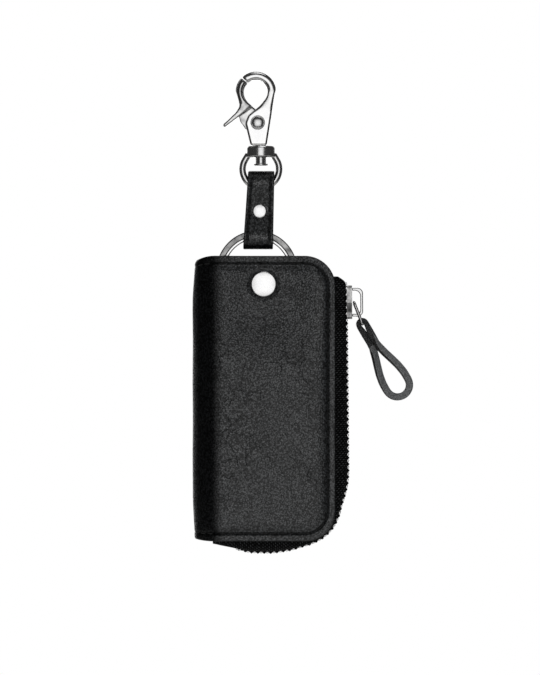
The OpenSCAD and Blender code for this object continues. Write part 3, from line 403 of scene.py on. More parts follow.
def leather(name, tone, grain, dull, sheen, depth, painted_shade=None, grain_and_shading=(0.3, 3.6)):
    """Pebbled leather with fine creases. Its painted_shade mask paints shade on folds and seams.
    """
    paint, tree, shader = new_finish(name)
    pebble = texture(tree, "Voronoi", 1000 / grain)
    fine = texture(tree, "Voronoi", 1900 / grain)
    pore = texture(tree, "Noise", 1500 / grain, Detail=2)
    tumble = texture(tree, "Noise", 150, Detail=5, Roughness=0.6)
    place = tree.nodes.new("ShaderNodeTexCoord").outputs["Object"]
    drift = texture(tree, "Noise", 95, place, Detail=3).node.outputs["Color"]
    bent = tree.nodes.new("ShaderNodeVectorMath")
    bent.operation = "MULTIPLY_ADD"
    bent.inputs[1].default_value = (0.022, 0.022, 0.022)
    wire(tree, [(drift, bent.inputs[0]), (place, bent.inputs[2])])
    crease = texture(tree, "Voronoi", 105, bent.outputs[0])
    crease.node.feature = "DISTANCE_TO_EDGE"
    line = ramp(tree, crease, 1, 0, 0.0, 0.045)
    patch = ramp(tree, texture(tree, "Noise", 60, Detail=1), 0, 1, 0.45, 0.65)
    creased = product(tree, line, patch)
    height = sums(tree, [
        (pebble, -0.7), (fine, -0.3), (pore, 0.5), (tumble, 1.1), (creased, -0.45),
    ])
    relief(tree, shader, height, depth)
    # The speck is grain tone and painted light in one: pebble tops are painted lighter, the
    # hollows between them and the crease lines darker.
    speck = sums(tree, [(pore, 0.85), (pebble, -0.6), (tumble, 0.14), (creased, -0.16)])
    speck = ramp(tree, speck, 0, 1, 0.0, 0.56)
    dark, light = (tuple(part * c for c in tone) for part in grain_and_shading)
    colour = tint(tree, speck, dark, light, 0.15, 0.85)
    gloss = ramp(tree, speck, 0.5 * sheen, sheen, 0.2, 0.75)
    # Painted shade: the mask darkens the colour and the sheen.
    if painted_shade:
        mask = tree.nodes.new("ShaderNodeAttribute")
        mask.attribute_name = painted_shade
        dim = tree.nodes.new("ShaderNodeVectorMath")
        dim.operation = "SCALE"
        wire(tree, [(colour, dim.inputs[0]), (mask.outputs["Fac"], dim.inputs["Scale"])])
        colour, gloss = dim.outputs[0], product(tree, gloss, mask.outputs["Fac"])
    wire(tree, [
        (colour, shader.inputs["Base Color"]),
        (ramp(tree, speck, dull + 0.1, dull - 0.06), shader.inputs["Roughness"]),
        (gloss, shader.inputs["Specular IOR Level"]),
    ])
    return paint


def even_finish(name, kind, scale, dark, light, rough, dent):
    """A dyed stuff whose colour, roughness and relief follow one fine texture."""
    paint, tree, shader = new_finish(name)
    grey = texture(tree, kind, scale)
    wire(tree, [
        (tint(tree, grey, dark, light), shader.inputs["Base Color"]),
        (ramp(tree, grey, *rough), shader.inputs["Roughness"]),
    ])
    relief(tree, shader, grey, dent)
    return paint


def tangents(route):
    gone = np.gradient(np.array(route, float), axis=0)
    return gone / np.linalg.norm(gone, axis=1)[:, None]


def smoothed(route, rounds):
    route = np.array(route, float)
    for _ in range(rounds):
        route[1:-1] = 0.25 * route[:-2] + 0.5 * route[1:-1] + 0.25 * route[2:]
    return route


def measured(route):
    """How far along the route each of its points lies."""
    return np.concatenate([[0], np.cumsum(np.linalg.norm(np.diff(route, axis=0), axis=1))])


def taken(route, run, spots):
    """The route's values at spots along its run."""
    return np.stack([np.interp(spots, run, column) for column in np.transpose(route)], axis=-1)


def resampled(route, pitch):
    route = np.array(route, float)
    run = measured(route)
    steps = max(2, int(round(run[-1] / pitch)) + 1)
    return taken(route, run, np.linspace(0, run[-1], steps))


def tube_faces(rows, around, base=0, closed=False):
    """Faces between rings of points; a closed tube's last ring meets its first."""
    faces = []
    for i in range(rows if closed else rows - 1):
        one, two = base + i * around, base + (i + 1) % rows * around
        faces += [
            (one + j, one + (j + 1) % around, two + (j + 1) % around, two + j)
            for j in range(around)
        ]
    return faces


def tube_ends(rows, around, base=0):
    last = base + (rows - 1) * around
    return [tuple(range(base + around - 1, base - 1, -1)), tuple(range(last, last + around))]


def sweep(name, rings, edge_columns=(), closed=False):
    """A band or wire through a row of sections; the edge columns take the second finish."""
    rings = np.array(rings)
    count, around = rings.shape[:2]
    faces = tube_faces(count, around, closed=closed)
    kinds = [int(j in edge_columns) for j in range(around)] * (len(faces) // around)
    if not closed:
        faces += tube_ends(count, around)
        kinds += [int(bool(edge_columns))] * 2
    mesh = shaped(name, rings.reshape(-1, 3), faces)
    mesh.polygons.foreach_set("material_index", kinds)
    return mesh


def strip_section(width, thick, radius, steps=4):
    """A flat strip's section with rounded edges."""
    w, t = width / 2 - radius, thick / 2 - radius
    ring = []
    for cx, cy, start in ((w, t, 0), (-w, t, 90), (-w, -t, 180), (w, -t, 270)):
        for i in range(steps + 1):
            a = math.radians(start + 90 * i / steps)
            ring.append((cx + radius * math.cos(a), cy + radius * math.sin(a)))
    return ring


def turn_start(flat_y, reach, radius):
    """The angle at which the strip, coming off a ply, meets its turn round a loop."""
    half = math.acos(radius / math.hypot(flat_y, reach))
    return (math.atan2(-reach, flat_y) + math.copysign(half, flat_y)) % (2 * math.pi)


def loop_arc(loop, side, reach):
    """The turn round the eye or the ring, from the front ply to the back one."""
    radius = loop[2] + STRAP_T / 2
    front = turn_start(-PLY_Y, reach, radius)
    back = turn_start(PLY_Y, reach, radius) - 2 * math.pi
    turn = np.linspace(front, back, 40)
    return [(radius * math.cos(a), loop[1] + side * radius * math.sin(a)) for a in turn]


UNDER_LAP = RIVET[1] - LAP_HALF
side_route = (
    [(PLY_Y, UNDER_LAP + 1.2), (PLY_Y, EYE_LOOP[1] - EYE_REACH)]
    + loop_arc(EYE_LOOP, 1, EYE_REACH)[::-1]
    + [(-PLY_Y, EYE_LOOP[1] - EYE_REACH), (-PLY_Y, RING_LOOP[1] + RING_REACH)]
    + loop_arc(RING_LOOP, -1, RING_REACH)
    + [(PLY_Y, RING_LOOP[1] + 5.1), (PLY_Y + 0.2, UNDER_LAP - 0.1)]
    + [(LAP_Y, UNDER_LAP + 2.2), (LAP_Y, RIVET[1] + LAP_HALF)]
)
side_route = smoothed(resampled(side_route, STRAP_STEP), 6)


def strap_row(z):
    """The strap's middle and its width at a height."""
    t = (EYE_LOOP[1] - z) / (EYE_LOOP[1] - RING_LOOP[1])
    middle = EYE_LOOP[0] + (RING_LOOP[0] - EYE_LOOP[0]) * t
    return middle, STRAP_W[0] + (STRAP_W[1] - STRAP_W[0]) * t


def ease(t):
    t = np.clip(t, 0, 1)
    return t * t * (3 - 2 * t)


def seam_mark(u, width):
    return math.exp(-(((abs(u) - width / 2 + STRAP_SEAM) / SEAM_DENT_W) ** 2))


strap_rings, strap_shade = [], []
for (y, z), (ty, tz) in zip(side_route, tangents(side_route)):
    middle, width = strap_row(z)
    inside = min(EYE_LOOP[1] - z, z - RING_LOOP[1])
    sewn = float(ease((inside + DENT_PAST) / DENT_FADE)) if y < 0 else 0.0
    section = strip_section(width, STRAP_T, STRAP_EDGE_R)
    flat = width / 2 - STRAP_EDGE_R
    across = np.linspace(-flat, flat, STRAP_ACROSS)[1:-1]
    back_left = len(section) * 3 // 4
    section[back_left:back_left] = [
        (u, SEAM_DENT * sewn * seam_mark(u, width) - STRAP_T / 2) for u in across
    ]
    strap_rings.append([(middle + u, y - v * tz, z + v * ty) for u, v in section])
    # Painted shade: the strap is darkened past the middle of each loop, where it turns over the
    # eye and the ring, and the front ply is darkened along its seam dents.
    turned = 1 - TURN_SHADE * float(ease((-inside - TURN_FROM) / TURN_RUN))
    sewn *= SEAM_SHADE
    strap_shade += [turned * (1 - sewn * seam_mark(u, width) * (v < 0)) for u, v in section]
strap_leather = leather(
    "strap_leather", (0.018, 0.019, 0.02), grain=0.85, dull=0.25, sheen=1, depth=0.14, painted_shade="painted_shade",
)
black_edge = even_finish(
    "black_edge", "Noise", 1500, dark=(0.004, 0.004, 0.0045), light=(0.009, 0.009, 0.0095),
    rough=(0.3, 0.46), dent=0.03,
)
strap_mesh = sweep("strap_strip", strap_rings)
for face in strap_mesh.polygons:
    face.material_index = 0 if abs(face.normal.x) < 0.75 else 1
strap_mesh.attributes.new("painted_shade", "FLOAT", "POINT").data.foreach_set("value", strap_shade)
strap = put("strap_strip", strap_mesh, [strap_leather, black_edge], "strap")
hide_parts("strap")

black_thread, thread_tree, thread_shader = new_finish("black_thread")
twist = texture(thread_tree, "Wave", 900, Distortion=1.5, Detail=1)
fluff = texture(thread_tree, "Noise", 4200, Detail=2)
thread_colour = tint(thread_tree, fluff, (0.003, 0.003, 0.0032), (0.012, 0.012, 0.0125))
wire(thread_tree, [
    (thread_colour, thread_shader.inputs["Base Color"]),
    (ramp(thread_tree, fluff, 0.5, 0.75), thread_shader.inputs["Roughness"]),
])
relief(thread_tree, thread_shader, sums(thread_tree, [(twist, 0.6), (fluff, 0.4)]), 0.05)
THREAD_AROUND, THREAD_ALONG = 8, 9
SUNK, LIFTED, FLATTENED = 0.25, 0.34, 0.8


def stitches(name, route, normals, pitch, length, thick, body):
    """A row of short thread humps, each dipping into the leather at both ends."""
    route, normals = np.array(route, float), np.array(normals, float)
    run = measured(route)
    count = int(run[-1] / pitch)
    start = (run[-1] - count * pitch) / 2 + pitch / 2
    spots, faces = [], []
    for k in range(count):
        base = len(spots)
        for t in np.linspace(0, 1, THREAD_ALONG):
            s = start + k * pitch + (t - 0.5) * length
            p, q = taken(route, run, s), taken(route, run, s + 0.05)
            n = taken(normals, run, s)
            n = n / np.linalg.norm(n)
            side = np.cross((q - p) / max(1e-9, np.linalg.norm(q - p)), n)
            round_off = math.sqrt(max(0.02, 1 - (2 * t - 1) ** 4))
            lift, r = (LIFTED * round_off - SUNK) * thick, thick / 2 * round_off
            for a in np.arange(THREAD_AROUND) * 2 * math.pi / THREAD_AROUND:
                up = lift + r * FLATTENED * math.sin(a)
                spots.append(p + n * up + side * r * math.cos(a))
        faces += tube_faces(THREAD_ALONG, THREAD_AROUND, base)
        faces += tube_ends(THREAD_ALONG, THREAD_AROUND, base)
    put(name, shaped(name, spots, faces), [black_thread], body)


front_ply, back_ply = [], []
for (y, z), (ty, tz) in zip(side_route, tangents(side_route)):
    top_y, top_z = y + STRAP_T / 2 * tz, z - STRAP_T / 2 * ty
    if y < 0 and RING_LOOP[1] - SEAM_PAST < top_z < EYE_LOOP[1] + SEAM_PAST:
        front_ply.append((top_y, top_z, (0, tz, -ty)))
    elif y > LAP_Y - 0.1:
        back_ply.append((top_y, top_z, (0, tz, -ty)))
for face_name, ply in (("front", front_ply), ("back", back_ply)):
    for side_name, side in (("left", -1), ("right", 1)):
        row = []
        for y, z, _ in ply:
            middle, width = strap_row(z)
            row.append((middle + side * (width / 2 - STRAP_SEAM), y, z))
        stitches(
            f"strap_stitches_{face_name}_{side_name}", row, [outward for _, _, outward in ply],
            STRAP_PITCH, STRAP_STITCH, STRAP_THREAD, "strap",
        )


# Strap rivet. A domed cap of nickel-plated brass is pressed through both plies and
# the lap, onto a post with a flat head at the back.
def button(radius, low, high, roll, crown):
    """Profile of a pressed cap: its foot, its rolled edge and a shallow crown."""
    flat, rim = radius - roll, high - crown
    edge = [
        (flat + roll * math.cos(a), rim - roll + roll * math.sin(a))
        for a in np.radians(np.arange(0, 91, 15))
    ]
    top = [(flat * (1 - t), rim + crown * (1 - (1 - t) ** 2)) for t in np.linspace(0, 1, 14)[1:]]
    return [(0, low), (radius - 0.2, low), (radius, low + 0.2)] + edge + top


RIVET_SEAT, RIVET_R, RIVET_H = 1.86, 2.7, 1.3
rivet_profile = button(RIVET_R, RIVET_SEAT + 0.02, RIVET_SEAT + RIVET_H, roll=0.42, crown=0.17)
rivet_cap = lathe("rivet_cap", rivet_profile, RIVET, bright_nickel, "strap")
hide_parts("strap_rivet_cap")
machined("rivet_post", "strap_rivet_post", "strap", grey_nickel, edge=0.12)

# Split ring. Two flat coils of one spring steel band, pressed tight on each other
# and joined by a short step. Its plating is stained; the wider coil behind takes
# the brighter nickel where it shows, as a painted highlight.
RING_MIDDLE = (0.4, -69.625)
RING_OUT, FRONT_IN, BACK_IN = 15.8, 13.4, 12.42
COIL_T, COIL_Y, COIL_EDGE = 1.1, 0.6, 0.5
RING_START, STEP_FROM, STEP_TO, RING_END = 226, 559, 587, 920
ring_rings = []
for angle in np.arange(RING_START, RING_END + 0.1, 2):
    over = float(np.clip((angle - STEP_FROM) / (STEP_TO - STEP_FROM), 0, 1))
    inner = FRONT_IN + (BACK_IN - FRONT_IN) * over
    middle_r, coil_y = (RING_OUT + inner) / 2, COIL_Y * (2 * over - 1)
    c, s = math.cos(math.radians(angle)), math.sin(math.radians(angle))
    ring_rings.append([
        (RING_MIDDLE[0] + c * (middle_r + u), coil_y + v, RING_MIDDLE[1] + s * (middle_r + u))
        for u, v in strip_section(RING_OUT - inner, COIL_T, COIL_EDGE, 6)
    ])
ring_nickel = nickel("ring_nickel", 0.36, 0.17, ripple=0.02, stain=0.24)
ring_mesh = sweep("split_ring", ring_rings)
# Painted highlight: the back coil's forward faces take the brighter nickel.
for face in ring_mesh.polygons:
    face.material_index = 1 if 0 < face.center.y < (COIL_Y - 0.3) * MM else 0
split_ring = put("split_ring", ring_mesh, [ring_nickel, bright_nickel], "ring")
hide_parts("key_ring")

# Case leather. One sheet of soft pebbled black leather makes the back, the
# rounded spine and the padded front; it is sewn 3 mm inside its painted edge.
TOP, BOTTOM, RIGHT, LEFT = -63.725, -174.125, 30.8, -24.6
MIDDLE_Z = (TOP + BOTTOM) / 2
SPINE_R, SIDE_DEPTH, CORNER_R = 8.8, 7.7, 12.0
PANEL_LEFT = LEFT + SPINE_R
LEATHER_T, PILLOW, CROWN, WAVE = 1.2, 1.2, 0.15, 0.04
STITCH_IN, SHOULDER, SHOULDER_SHAPE = 3.0, 5.2, 2.4
GROOVE, GROOVE_W, SPINE_GROOVE = 0.6, 0.46, 0.3
SPINE_HOLD = 0.72
SNAP, FLAT_R = (3.0, -74.725), 5.45
SNAP_HOLD, HOLD_FADE = 0.75, 1.3
PINCH, PINCH_SIDE, PINCH_DOWN, PINCH_WIDE = 3.5, 0.2, 29.7, 27.7
SPINE_STEPS, SPINE_SQUARE = 48, 1.25
SPINE_TUCK, SPINE_RIPPLE = 0.8, 0.05
SPINE_DIP, SPINE_CURL = {True: 0.024, False: 0.008}, {True: (1.6, 2.4), False: (0.8, 1.3)}
LEATHER_RIM, EDGE_PAINTED, CORNER_STEPS = 0.45, 0.24, 25
FOLD_AT, FOLD_FADE, CREST_AT, CREST_FADE, FOLD_SHADE = -16.3, 4.0, -22.2, 1.8, 0.2
SEWN_W, GROOVE_SHADE = 0.42, 0.55


def pinch(x, z):
    """How far the press stud draws the two panels together."""
    near = 1 - ease((SNAP[1] - FLAT_R - z) / PINCH_DOWN)
    aside = ease((np.abs(x - SNAP[0]) - FLAT_R) / (PINCH_WIDE - FLAT_R))
    return PINCH * near * (1 + (PINCH_SIDE - 1) * aside)


def case_depth(x, z):
    """From the case's middle to a panel's face, before padding."""
    t = np.clip((x - PANEL_LEFT) / (RIGHT - PANEL_LEFT), 0, None)
    return SPINE_R + (SIDE_DEPTH - SPINE_R) * t - pinch(x, z)


def edge_gap(x, z):
    """How far inside the panel's edge a place lies."""
    side = RIGHT - x
    end = np.minimum(TOP - z, z - BOTTOM)
    corner = CORNER_R - np.hypot(CORNER_R - side, CORNER_R - end)
    return np.where((side < CORNER_R) & (end < CORNER_R), corner, np.minimum(side, end))


WAVES = ((0.11, 0.05, 0.4), (0.07, 0.13, 2.1), (0.19, 0.09, 4.4), (0.05, 0.21, 1.3))


def slow_waves(x, z, seed):
    wave = 0 * x
    for k, (fx, fz, phase) in enumerate(WAVES):
        wave = wave + np.sin(fx * x * (1 + 0.1 * seed) + fz * z + phase * (seed + 1)) / (k + 2)
    return wave


def sewn_groove(gap):
    return GROOVE * np.exp(-(((gap - STITCH_IN) / GROOVE_W) ** 2))


def panel_rise(x, z, seed):
    """What padding, seam and press stud add to a panel's face. Each panel has its seed."""
    gap = edge_gap(x, z)
    inside = 1 - (1 - np.clip((gap - STITCH_IN) / SHOULDER, 0, 1)) ** SHOULDER_SHAPE
    from_snap = np.hypot(x - SNAP[0], z - SNAP[1]) - FLAT_R + 0.5
    hold = 1 - SNAP_HOLD * (1 - ease(from_snap / HOLD_FADE))
    left = SPINE_HOLD + (1 - SPINE_HOLD) * ease((x - PANEL_LEFT) / SPINE_R)
    crown = CROWN * ease((gap - 6) / 14) * left
    rise = PILLOW + crown + WAVE * slow_waves(x, z, seed)
    return inside * left * hold * rise - sewn_groove(gap)


def rim_fall(gap, thick, rim):
    """How far a sheet's face falls towards its middle at a rounded rim."""
    t = np.clip(gap / rim, 0, 1)
    return thick / 2 * (1 - np.sqrt(np.clip(1 - (1 - t) ** 2, 0, 1)))


panel_columns = np.linspace(PANEL_LEFT, RIGHT - CORNER_R, 36)
panel_rows = np.linspace(TOP - CORNER_R, BOTTOM + CORNER_R, 96)


def panel_outline(corner_steps):
    """Each place on the panel's edge, as a way to step inwards from it."""

    def corner(start_z, turns, up):
        return [
            lambda q, c=c, s=s: (
                RIGHT - CORNER_R + (CORNER_R - q) * c, start_z + up * (CORNER_R - q) * s,
            )
            for c, s in zip(np.cos(turns[1:]), np.sin(turns[1:]))
        ]

    turn = np.radians(np.linspace(90, 0, corner_steps))
    return (
        [lambda q, x=x: (x, TOP - q) for x in panel_columns]
        + corner(TOP - CORNER_R, turn, 1)
        + [lambda q, z=z: (RIGHT - q, z) for z in panel_rows[1:]]
        + corner(BOTTOM + CORNER_R, turn[::-1], -1)
        + [lambda q, x=x: (x, BOTTOM + q) for x in panel_columns[::-1][1:]]
    )


def grid_faces(rows, columns, base=0):
    return [
        [k, k + 1, k + columns + 1, k + columns]
        for i in range(rows - 1)
        for k in range(base + i * columns, base + (i + 1) * columns - 1)
    ]


def panel_grid(band):
    """Every place (x, z) of the flat panel, with the faces between them."""
    spots, index, faces = [], {}, []

    def spot(x, z):
        key = (round(float(x), 4), round(float(z), 4))
        if key not in index:
            index[key] = len(spots)
            spots.append((x, z))
        return index[key]

    edge = [[spot(*place(q)) for q in band] for place in panel_outline(CORNER_STEPS)]
    for one, two in zip(edge[:-1], edge[1:]):
        for j in range(len(band) - 1):
            face = [one[j], two[j], two[j + 1], one[j + 1]]
            face = [v for i, v in enumerate(face) if v != face[i - 1]]
            if len(face) > 2:
                faces.append(face)
    inner = [spot(x, z) for z in panel_rows for x in panel_columns]
    inner_faces = grid_faces(len(panel_rows), len(panel_columns))
    return np.array(spots), faces + [[inner[k] for k in face] for face in inner_faces]


def spine_row(z, off, rise):
    """Points of the spine at one height, from the front panel round to the back one."""
    end = min(TOP - z, z - BOTTOM)
    wide, high = SPINE_CURL[z > MIDDLE_Z]
    curl = wide * (1 - math.sqrt(1 - (1 - min(1, end / high)) ** 2))
    rx = SPINE_R - SPINE_TUCK * (1 - ease(end / (2 * SPINE_R))) - curl - off
    ry = case_depth(PANEL_LEFT, z) - off
    row = []
    for a in np.radians(np.linspace(90, -90, SPINE_STEPS + 1)):
        c, s = abs(math.cos(a)), math.sin(a)
        lift = groove = ripple = 0.0
        if rise:
            facing = s * s * s * s
            seed = 0 if s > 0 else 1
            lift = float(panel_rise(PANEL_LEFT, z, seed)) * facing
            groove = SPINE_GROOVE * float(sewn_groove(end)) * (1 - facing)
            ripple = SPINE_RIPPLE * math.sin(0.21 * z + 2.2 * a)
        row.append((
            PANEL_LEFT - (rx - groove + ripple * c) * c ** SPINE_SQUARE,
            -math.copysign((ry - groove) * abs(s) ** SPINE_SQUARE + lift, s) if s else 0.0,
            MIDDLE_Z + (z - MIDDLE_Z) * (1 - SPINE_DIP[z > MIDDLE_Z] * c ** 3),
        ))
    return row


def wrapped_sheet(name, band, off, thick, rim, padded):
    """Both faces of one sheet that lies round the two panels and the spine."""
    (flat, flat_faces), inset = panel_grid(band), band[0]
    top_rows, low_rows = [TOP - q for q in band], [BOTTOM + q for q in band[::-1]]
    rows = np.concatenate([top_rows, panel_rows[1:-1], low_rows])
    points, faces = [], []
    x, z = flat[:, 0], flat[:, 1]
    for outside in (True, False):
        fall = rim_fall(edge_gap(x, z) - inset, thick, rim)
        depth_in = off(z) + (fall if outside else thick - fall)
        for side, seed in ((-1, 0), (1, 1)):
            y = case_depth(x, z) - depth_in + (panel_rise(x, z, seed) if outside and padded else 0)
            base = len(points)
            points += [(a, side * b, c) for a, b, c in zip(x, y, z)]
            faces += [[base + v for v in f] for f in flat_faces]
        base, n = len(points), SPINE_STEPS + 1
        for row in rows:
            fall = float(rim_fall(min(TOP - row, row - BOTTOM) - inset, thick, rim))
            depth_in = float(off(row)) + (fall if outside else thick - fall)
            points += spine_row(row, depth_in, outside and padded)
        faces += grid_faces(len(rows), n, base)
    return welded(shaped(name, points, faces), 3e-6)


LEATHER_BAND = [
    0, 0.06, 0.16, 0.3, 0.45, 0.8, 1.3, 1.8, 2.2, 2.45, 2.65, 2.82, 3.0, 3.18, 3.35,
    3.6, 3.95, 4.4, 4.9, 5.4, 5.9, 6.4, 7.0, 7.8, 8.8, 10.2, 12.0,
]
case_leather = leather(
    "case_leather", (0.0155, 0.0166, 0.0178), grain=0.76, dull=0.25, sheen=1, depth=0.17,
    painted_shade="painted_shade",
)
wrap = put(
    "case_wrap",
    wrapped_sheet("case_wrap", LEATHER_BAND, lambda z: 0 * z, LEATHER_T, LEATHER_RIM, True),
    [case_leather, black_edge], None,
)
for face in wrap.data.polygons:
    c = face.center / MM
    if c.x > PANEL_LEFT:
        gap = edge_gap(c.x, c.z)
    else:
        dip = SPINE_DIP[c.z > MIDDLE_Z] * min(1, (PANEL_LEFT - c.x) / SPINE_R) ** 2.4
        flat_z = MIDDLE_Z + (c.z - MIDDLE_Z) / (1 - dip)
        gap = min(TOP - flat_z, flat_z - BOTTOM)
    face.material_index = 1 if gap < EDGE_PAINTED else 0
# Painted shade: the spine is darkened from the panels' edges to just short of its outer crest, and
# the leather along the sewn groove is darkened as well.
painted_shade = wrap.data.attributes.new("painted_shade", "FLOAT", "POINT")
for spot in wrap.data.vertices:
    x, _, z = spot.co / MM
    unshaded = float(max(ease((x - FOLD_AT) / FOLD_FADE), ease((CREST_AT - x) / CREST_FADE)))
    groove_shade = GROOVE_SHADE * math.exp(-(((edge_gap(x, z) - STITCH_IN) / SEWN_W) ** 2))
    painted_shade.data[spot.index].value = (FOLD_SHADE + (1 - FOLD_SHADE) * unshaded) * (1 - groove_shade)
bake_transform(wrap)
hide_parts("front_cover", "back_cover")

# Case stitches. A lockstitch in heavy black thread runs round both panels and
# over the ends of the spine, drawn down into the leather.
SEAM_PITCH, SEAM_LENGTH, SEAM_THREAD = 3.3, 2.6, 0.62
seam = np.array([place(STITCH_IN) for place in panel_outline(corner_steps=13)])
for face_name, side, body, seed in (("front", -1, "front", 0), ("back", 1, "case", 1)):
    y = side * (case_depth(seam[:, 0], seam[:, 1]) + panel_rise(seam[:, 0], seam[:, 1], seed))
    route = np.stack([seam[:, 0], y, seam[:, 1]], axis=1)
    stitches(
        f"panel_stitches_{face_name}", route, [(0, side, 0)] * len(route),
        SEAM_PITCH, SEAM_LENGTH, SEAM_THREAD, body,
    )
    for end_name, z in (("top", TOP - STITCH_IN), ("bottom", BOTTOM + STITCH_IN)):
        row = np.array(spine_row(z, 0.0, True))
        half = row[: SPINE_STEPS // 2 - 3] if side < 0 else row[SPINE_STEPS // 2 + 4:]
        out = half - np.array([PANEL_LEFT, 0, z])
        out[:, 2] = 0
        out /= np.linalg.norm(out, axis=1)[:, None]
        stitches(
            f"spine_stitches_{face_name}_{end_name}", half, out,
            SEAM_PITCH, SEAM_LENGTH, SEAM_THREAD, body,
        )

# Padding. A thin sheet of soft foam, its edges pared away, lies between leather
# and lining of each panel and gives the panel its rise.
PAD_IN, PAD_SEAT, PAD_PARED = 5.25, 1.7, 3.0
PAD_THIN, PAD_THICK, PAD_RIM = 0.33, 0.8, 0.12
PAD_LEFT = PANEL_LEFT + SPINE_R / 2
PAD_COLUMNS, PAD_ROWS = 26, 60
foam = even_finish(
    "grey_foam", "Voronoi", 2200, dark=(0.05, 0.05, 0.052), light=(0.11, 0.11, 0.115),
    rough=(0.85, 1.0), dent=0.12,
)


def pad_spot(u, v):
    """A place of the pad, how deep its inner face lies there and how thick it is."""
    z = TOP - PAD_IN + (BOTTOM - TOP + 2 * PAD_IN) * v
    end = min(TOP - PAD_IN - z, z - BOTTOM - PAD_IN)
    r = CORNER_R - PAD_IN
    cut = 0 if end >= r else r - math.sqrt(max(0, r * r - (r - end) ** 2))
    far = RIGHT - PAD_IN - cut
    x = PAD_LEFT + (far - PAD_LEFT) * u
    near = min(x - PAD_LEFT, far - x, end)
    full = math.sqrt(max(0.0, 1 - (1 - min(1, near / PAD_PARED)) ** 2))
    rise = ease((edge_gap(x, z) - STITCH_IN) / 3.6) * ease((x - PANEL_LEFT) / SPINE_R)
    thick = (PAD_THIN + PAD_THICK * PILLOW * float(rise)) * (PAD_RIM + (1 - PAD_RIM) * full)
    return x, z, float(case_depth(x, z)) - PAD_SEAT, thick


pad_spots = [
    pad_spot(u, v) for v in np.linspace(0, 1, PAD_ROWS) for u in np.linspace(0, 1, PAD_COLUMNS)
]
pad_faces = grid_faces(PAD_ROWS, PAD_COLUMNS)
pad_faces += grid_faces(PAD_ROWS, PAD_COLUMNS, len(pad_spots))
pad_places = np.arange(len(pad_spots)).reshape(PAD_ROWS, PAD_COLUMNS)
pad_rim = [
    *pad_places[0], *pad_places[1:, -1], *pad_places[-1, -2::-1], *pad_places[-2:0:-1, 0],
]
for one, two in zip(pad_rim, pad_rim[1:] + pad_rim[:1]):
    pad_faces.append([int(v) for v in (one, two, two + len(pad_spots), one + len(pad_spots))])
for face_name, side, body in (("front", -1, "front"), ("back", 1, "case")):
    points = [(x, side * (low + thick), z) for x, z, low, thick in pad_spots]
    points += [(x, side * low, z) for x, z, low, thick in pad_spots]
    pad_mesh = welded(shaped(f"{face_name}_pad", points, pad_faces), 1e-6)
    pad = put(f"{face_name}_pad", pad_mesh, [foam], body)
    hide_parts(f"{face_name}_padding")

# Lining. Thin smooth black calf is glued inside both panels and the spine; it
# covers the zip's tape and lets the keys slide in.
LINING_T, LINING_RIM = 0.8, 0.4
LINING_SEAT, LINING_SUNK, SUNK_OVER = 1.3, 0.55, 6.0
LINING_BAND = [0.3, 0.35, 0.43, 0.55, 0.7, 1.2, 1.9, 2.7, 3.6, 4.6, 5.8, 7.4, 9.4, 12.0]


def lining_depth(z):
    return LINING_SEAT + LINING_SUNK * ease((TOP - z) / SUNK_OVER)


lining_leather = leather(
    "lining_leather", (0.014, 0.014, 0.0145), grain=0.5, dull=0.5, sheen=0.3, depth=0.05,
)
lining = put(
    "case_lining",
    wrapped_sheet("case_lining", LINING_BAND, lining_depth, LINING_T, LINING_RIM, False),
    [lining_leather], None,
)
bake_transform(lining)
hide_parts("front_lining", "back_lining")

# Zip tapes. Woven black twill with a corded edge; each is sewn in under one
# leather, comes out past its edge and turns in to carry one row of teeth.
ZIP_TOP, SIDE_RUN, CORNER_RUN, ZIP_RUN = -71.729, 90.396, 18.85, 144.73
TAPE_T, TAPE_IN, TAPE_EDGE, TAPE_OFF = 0.55, 4.65, 1.3, 1.525
TAPE_PARTED, TURN_LEAST, TURN_FLAT = 1.35, 0.45, 0.35
ZIP_BULGE, BULGE_SOFT = 4.2, 0.008
SLIDER_MID, SLIDER_LEN, SLIDE_FROM = 9.984, 13.0, 3.184
CORD_IN, CORD_R, CORD_HELD, CORD_END = 1.6, 1.34, 0.4, 0.1
TOOTH_PITCH, TEETH_FROM, TEETH_TO = 2.48, 4.534, 135.3
TAPE_ROWS, FLAT_COLUMNS, CORD_COLUMNS, CORD_ZONE = 600, 18, 16, 2.1
TAPE_ACROSS = FLAT_COLUMNS + CORD_COLUMNS
bulge_shares = np.array([
    (0, 0.1), (0.006, 0.42), (0.012, 0.68), (0.018, 0.8), (0.026, 0.84), (0.53, 1), (0.56, 0.9),
    (0.592, 0.62), (0.613, 0.36), (0.65, 0.1), (0.69, 0.03), (0.73, 0.08), (0.757, 0.3),
    (0.79, 0.66), (0.84, 0.92), (0.9, 0.88), (0.945, 0.5), (0.975, 0.3), (1, 0.1),
])


def bulge(s):
    """How far the tape comes out past the leather's edge, s along the zip."""
    soft = 0 if s < SLIDE_FROM + SLIDER_LEN else BULGE_SOFT
    shifts = (-soft, -soft / 3, soft / 3, soft)
    return ZIP_BULGE * sum(np.interp(s / ZIP_RUN + d, *bulge_shares.T) for d in shifts) / 4


def past_edge(s, out):
    """Where a point lies that is out past the leather's edge, s along the zip."""
    a = math.radians(90 * share((s - SIDE_RUN) / CORNER_RUN))
    x = RIGHT - CORNER_R + CORNER_R * math.cos(a) - max(0, s - SIDE_RUN - CORNER_RUN)
    z = min(ZIP_TOP, max(ZIP_TOP - s, BOTTOM + CORNER_R)) - CORNER_R * math.sin(a)
    return x + out * math.cos(a), z - out * math.sin(a)


def under_leather(s, out):
    x, z = past_edge(s, out)
    return float(case_depth(x, z)) - TAPE_OFF


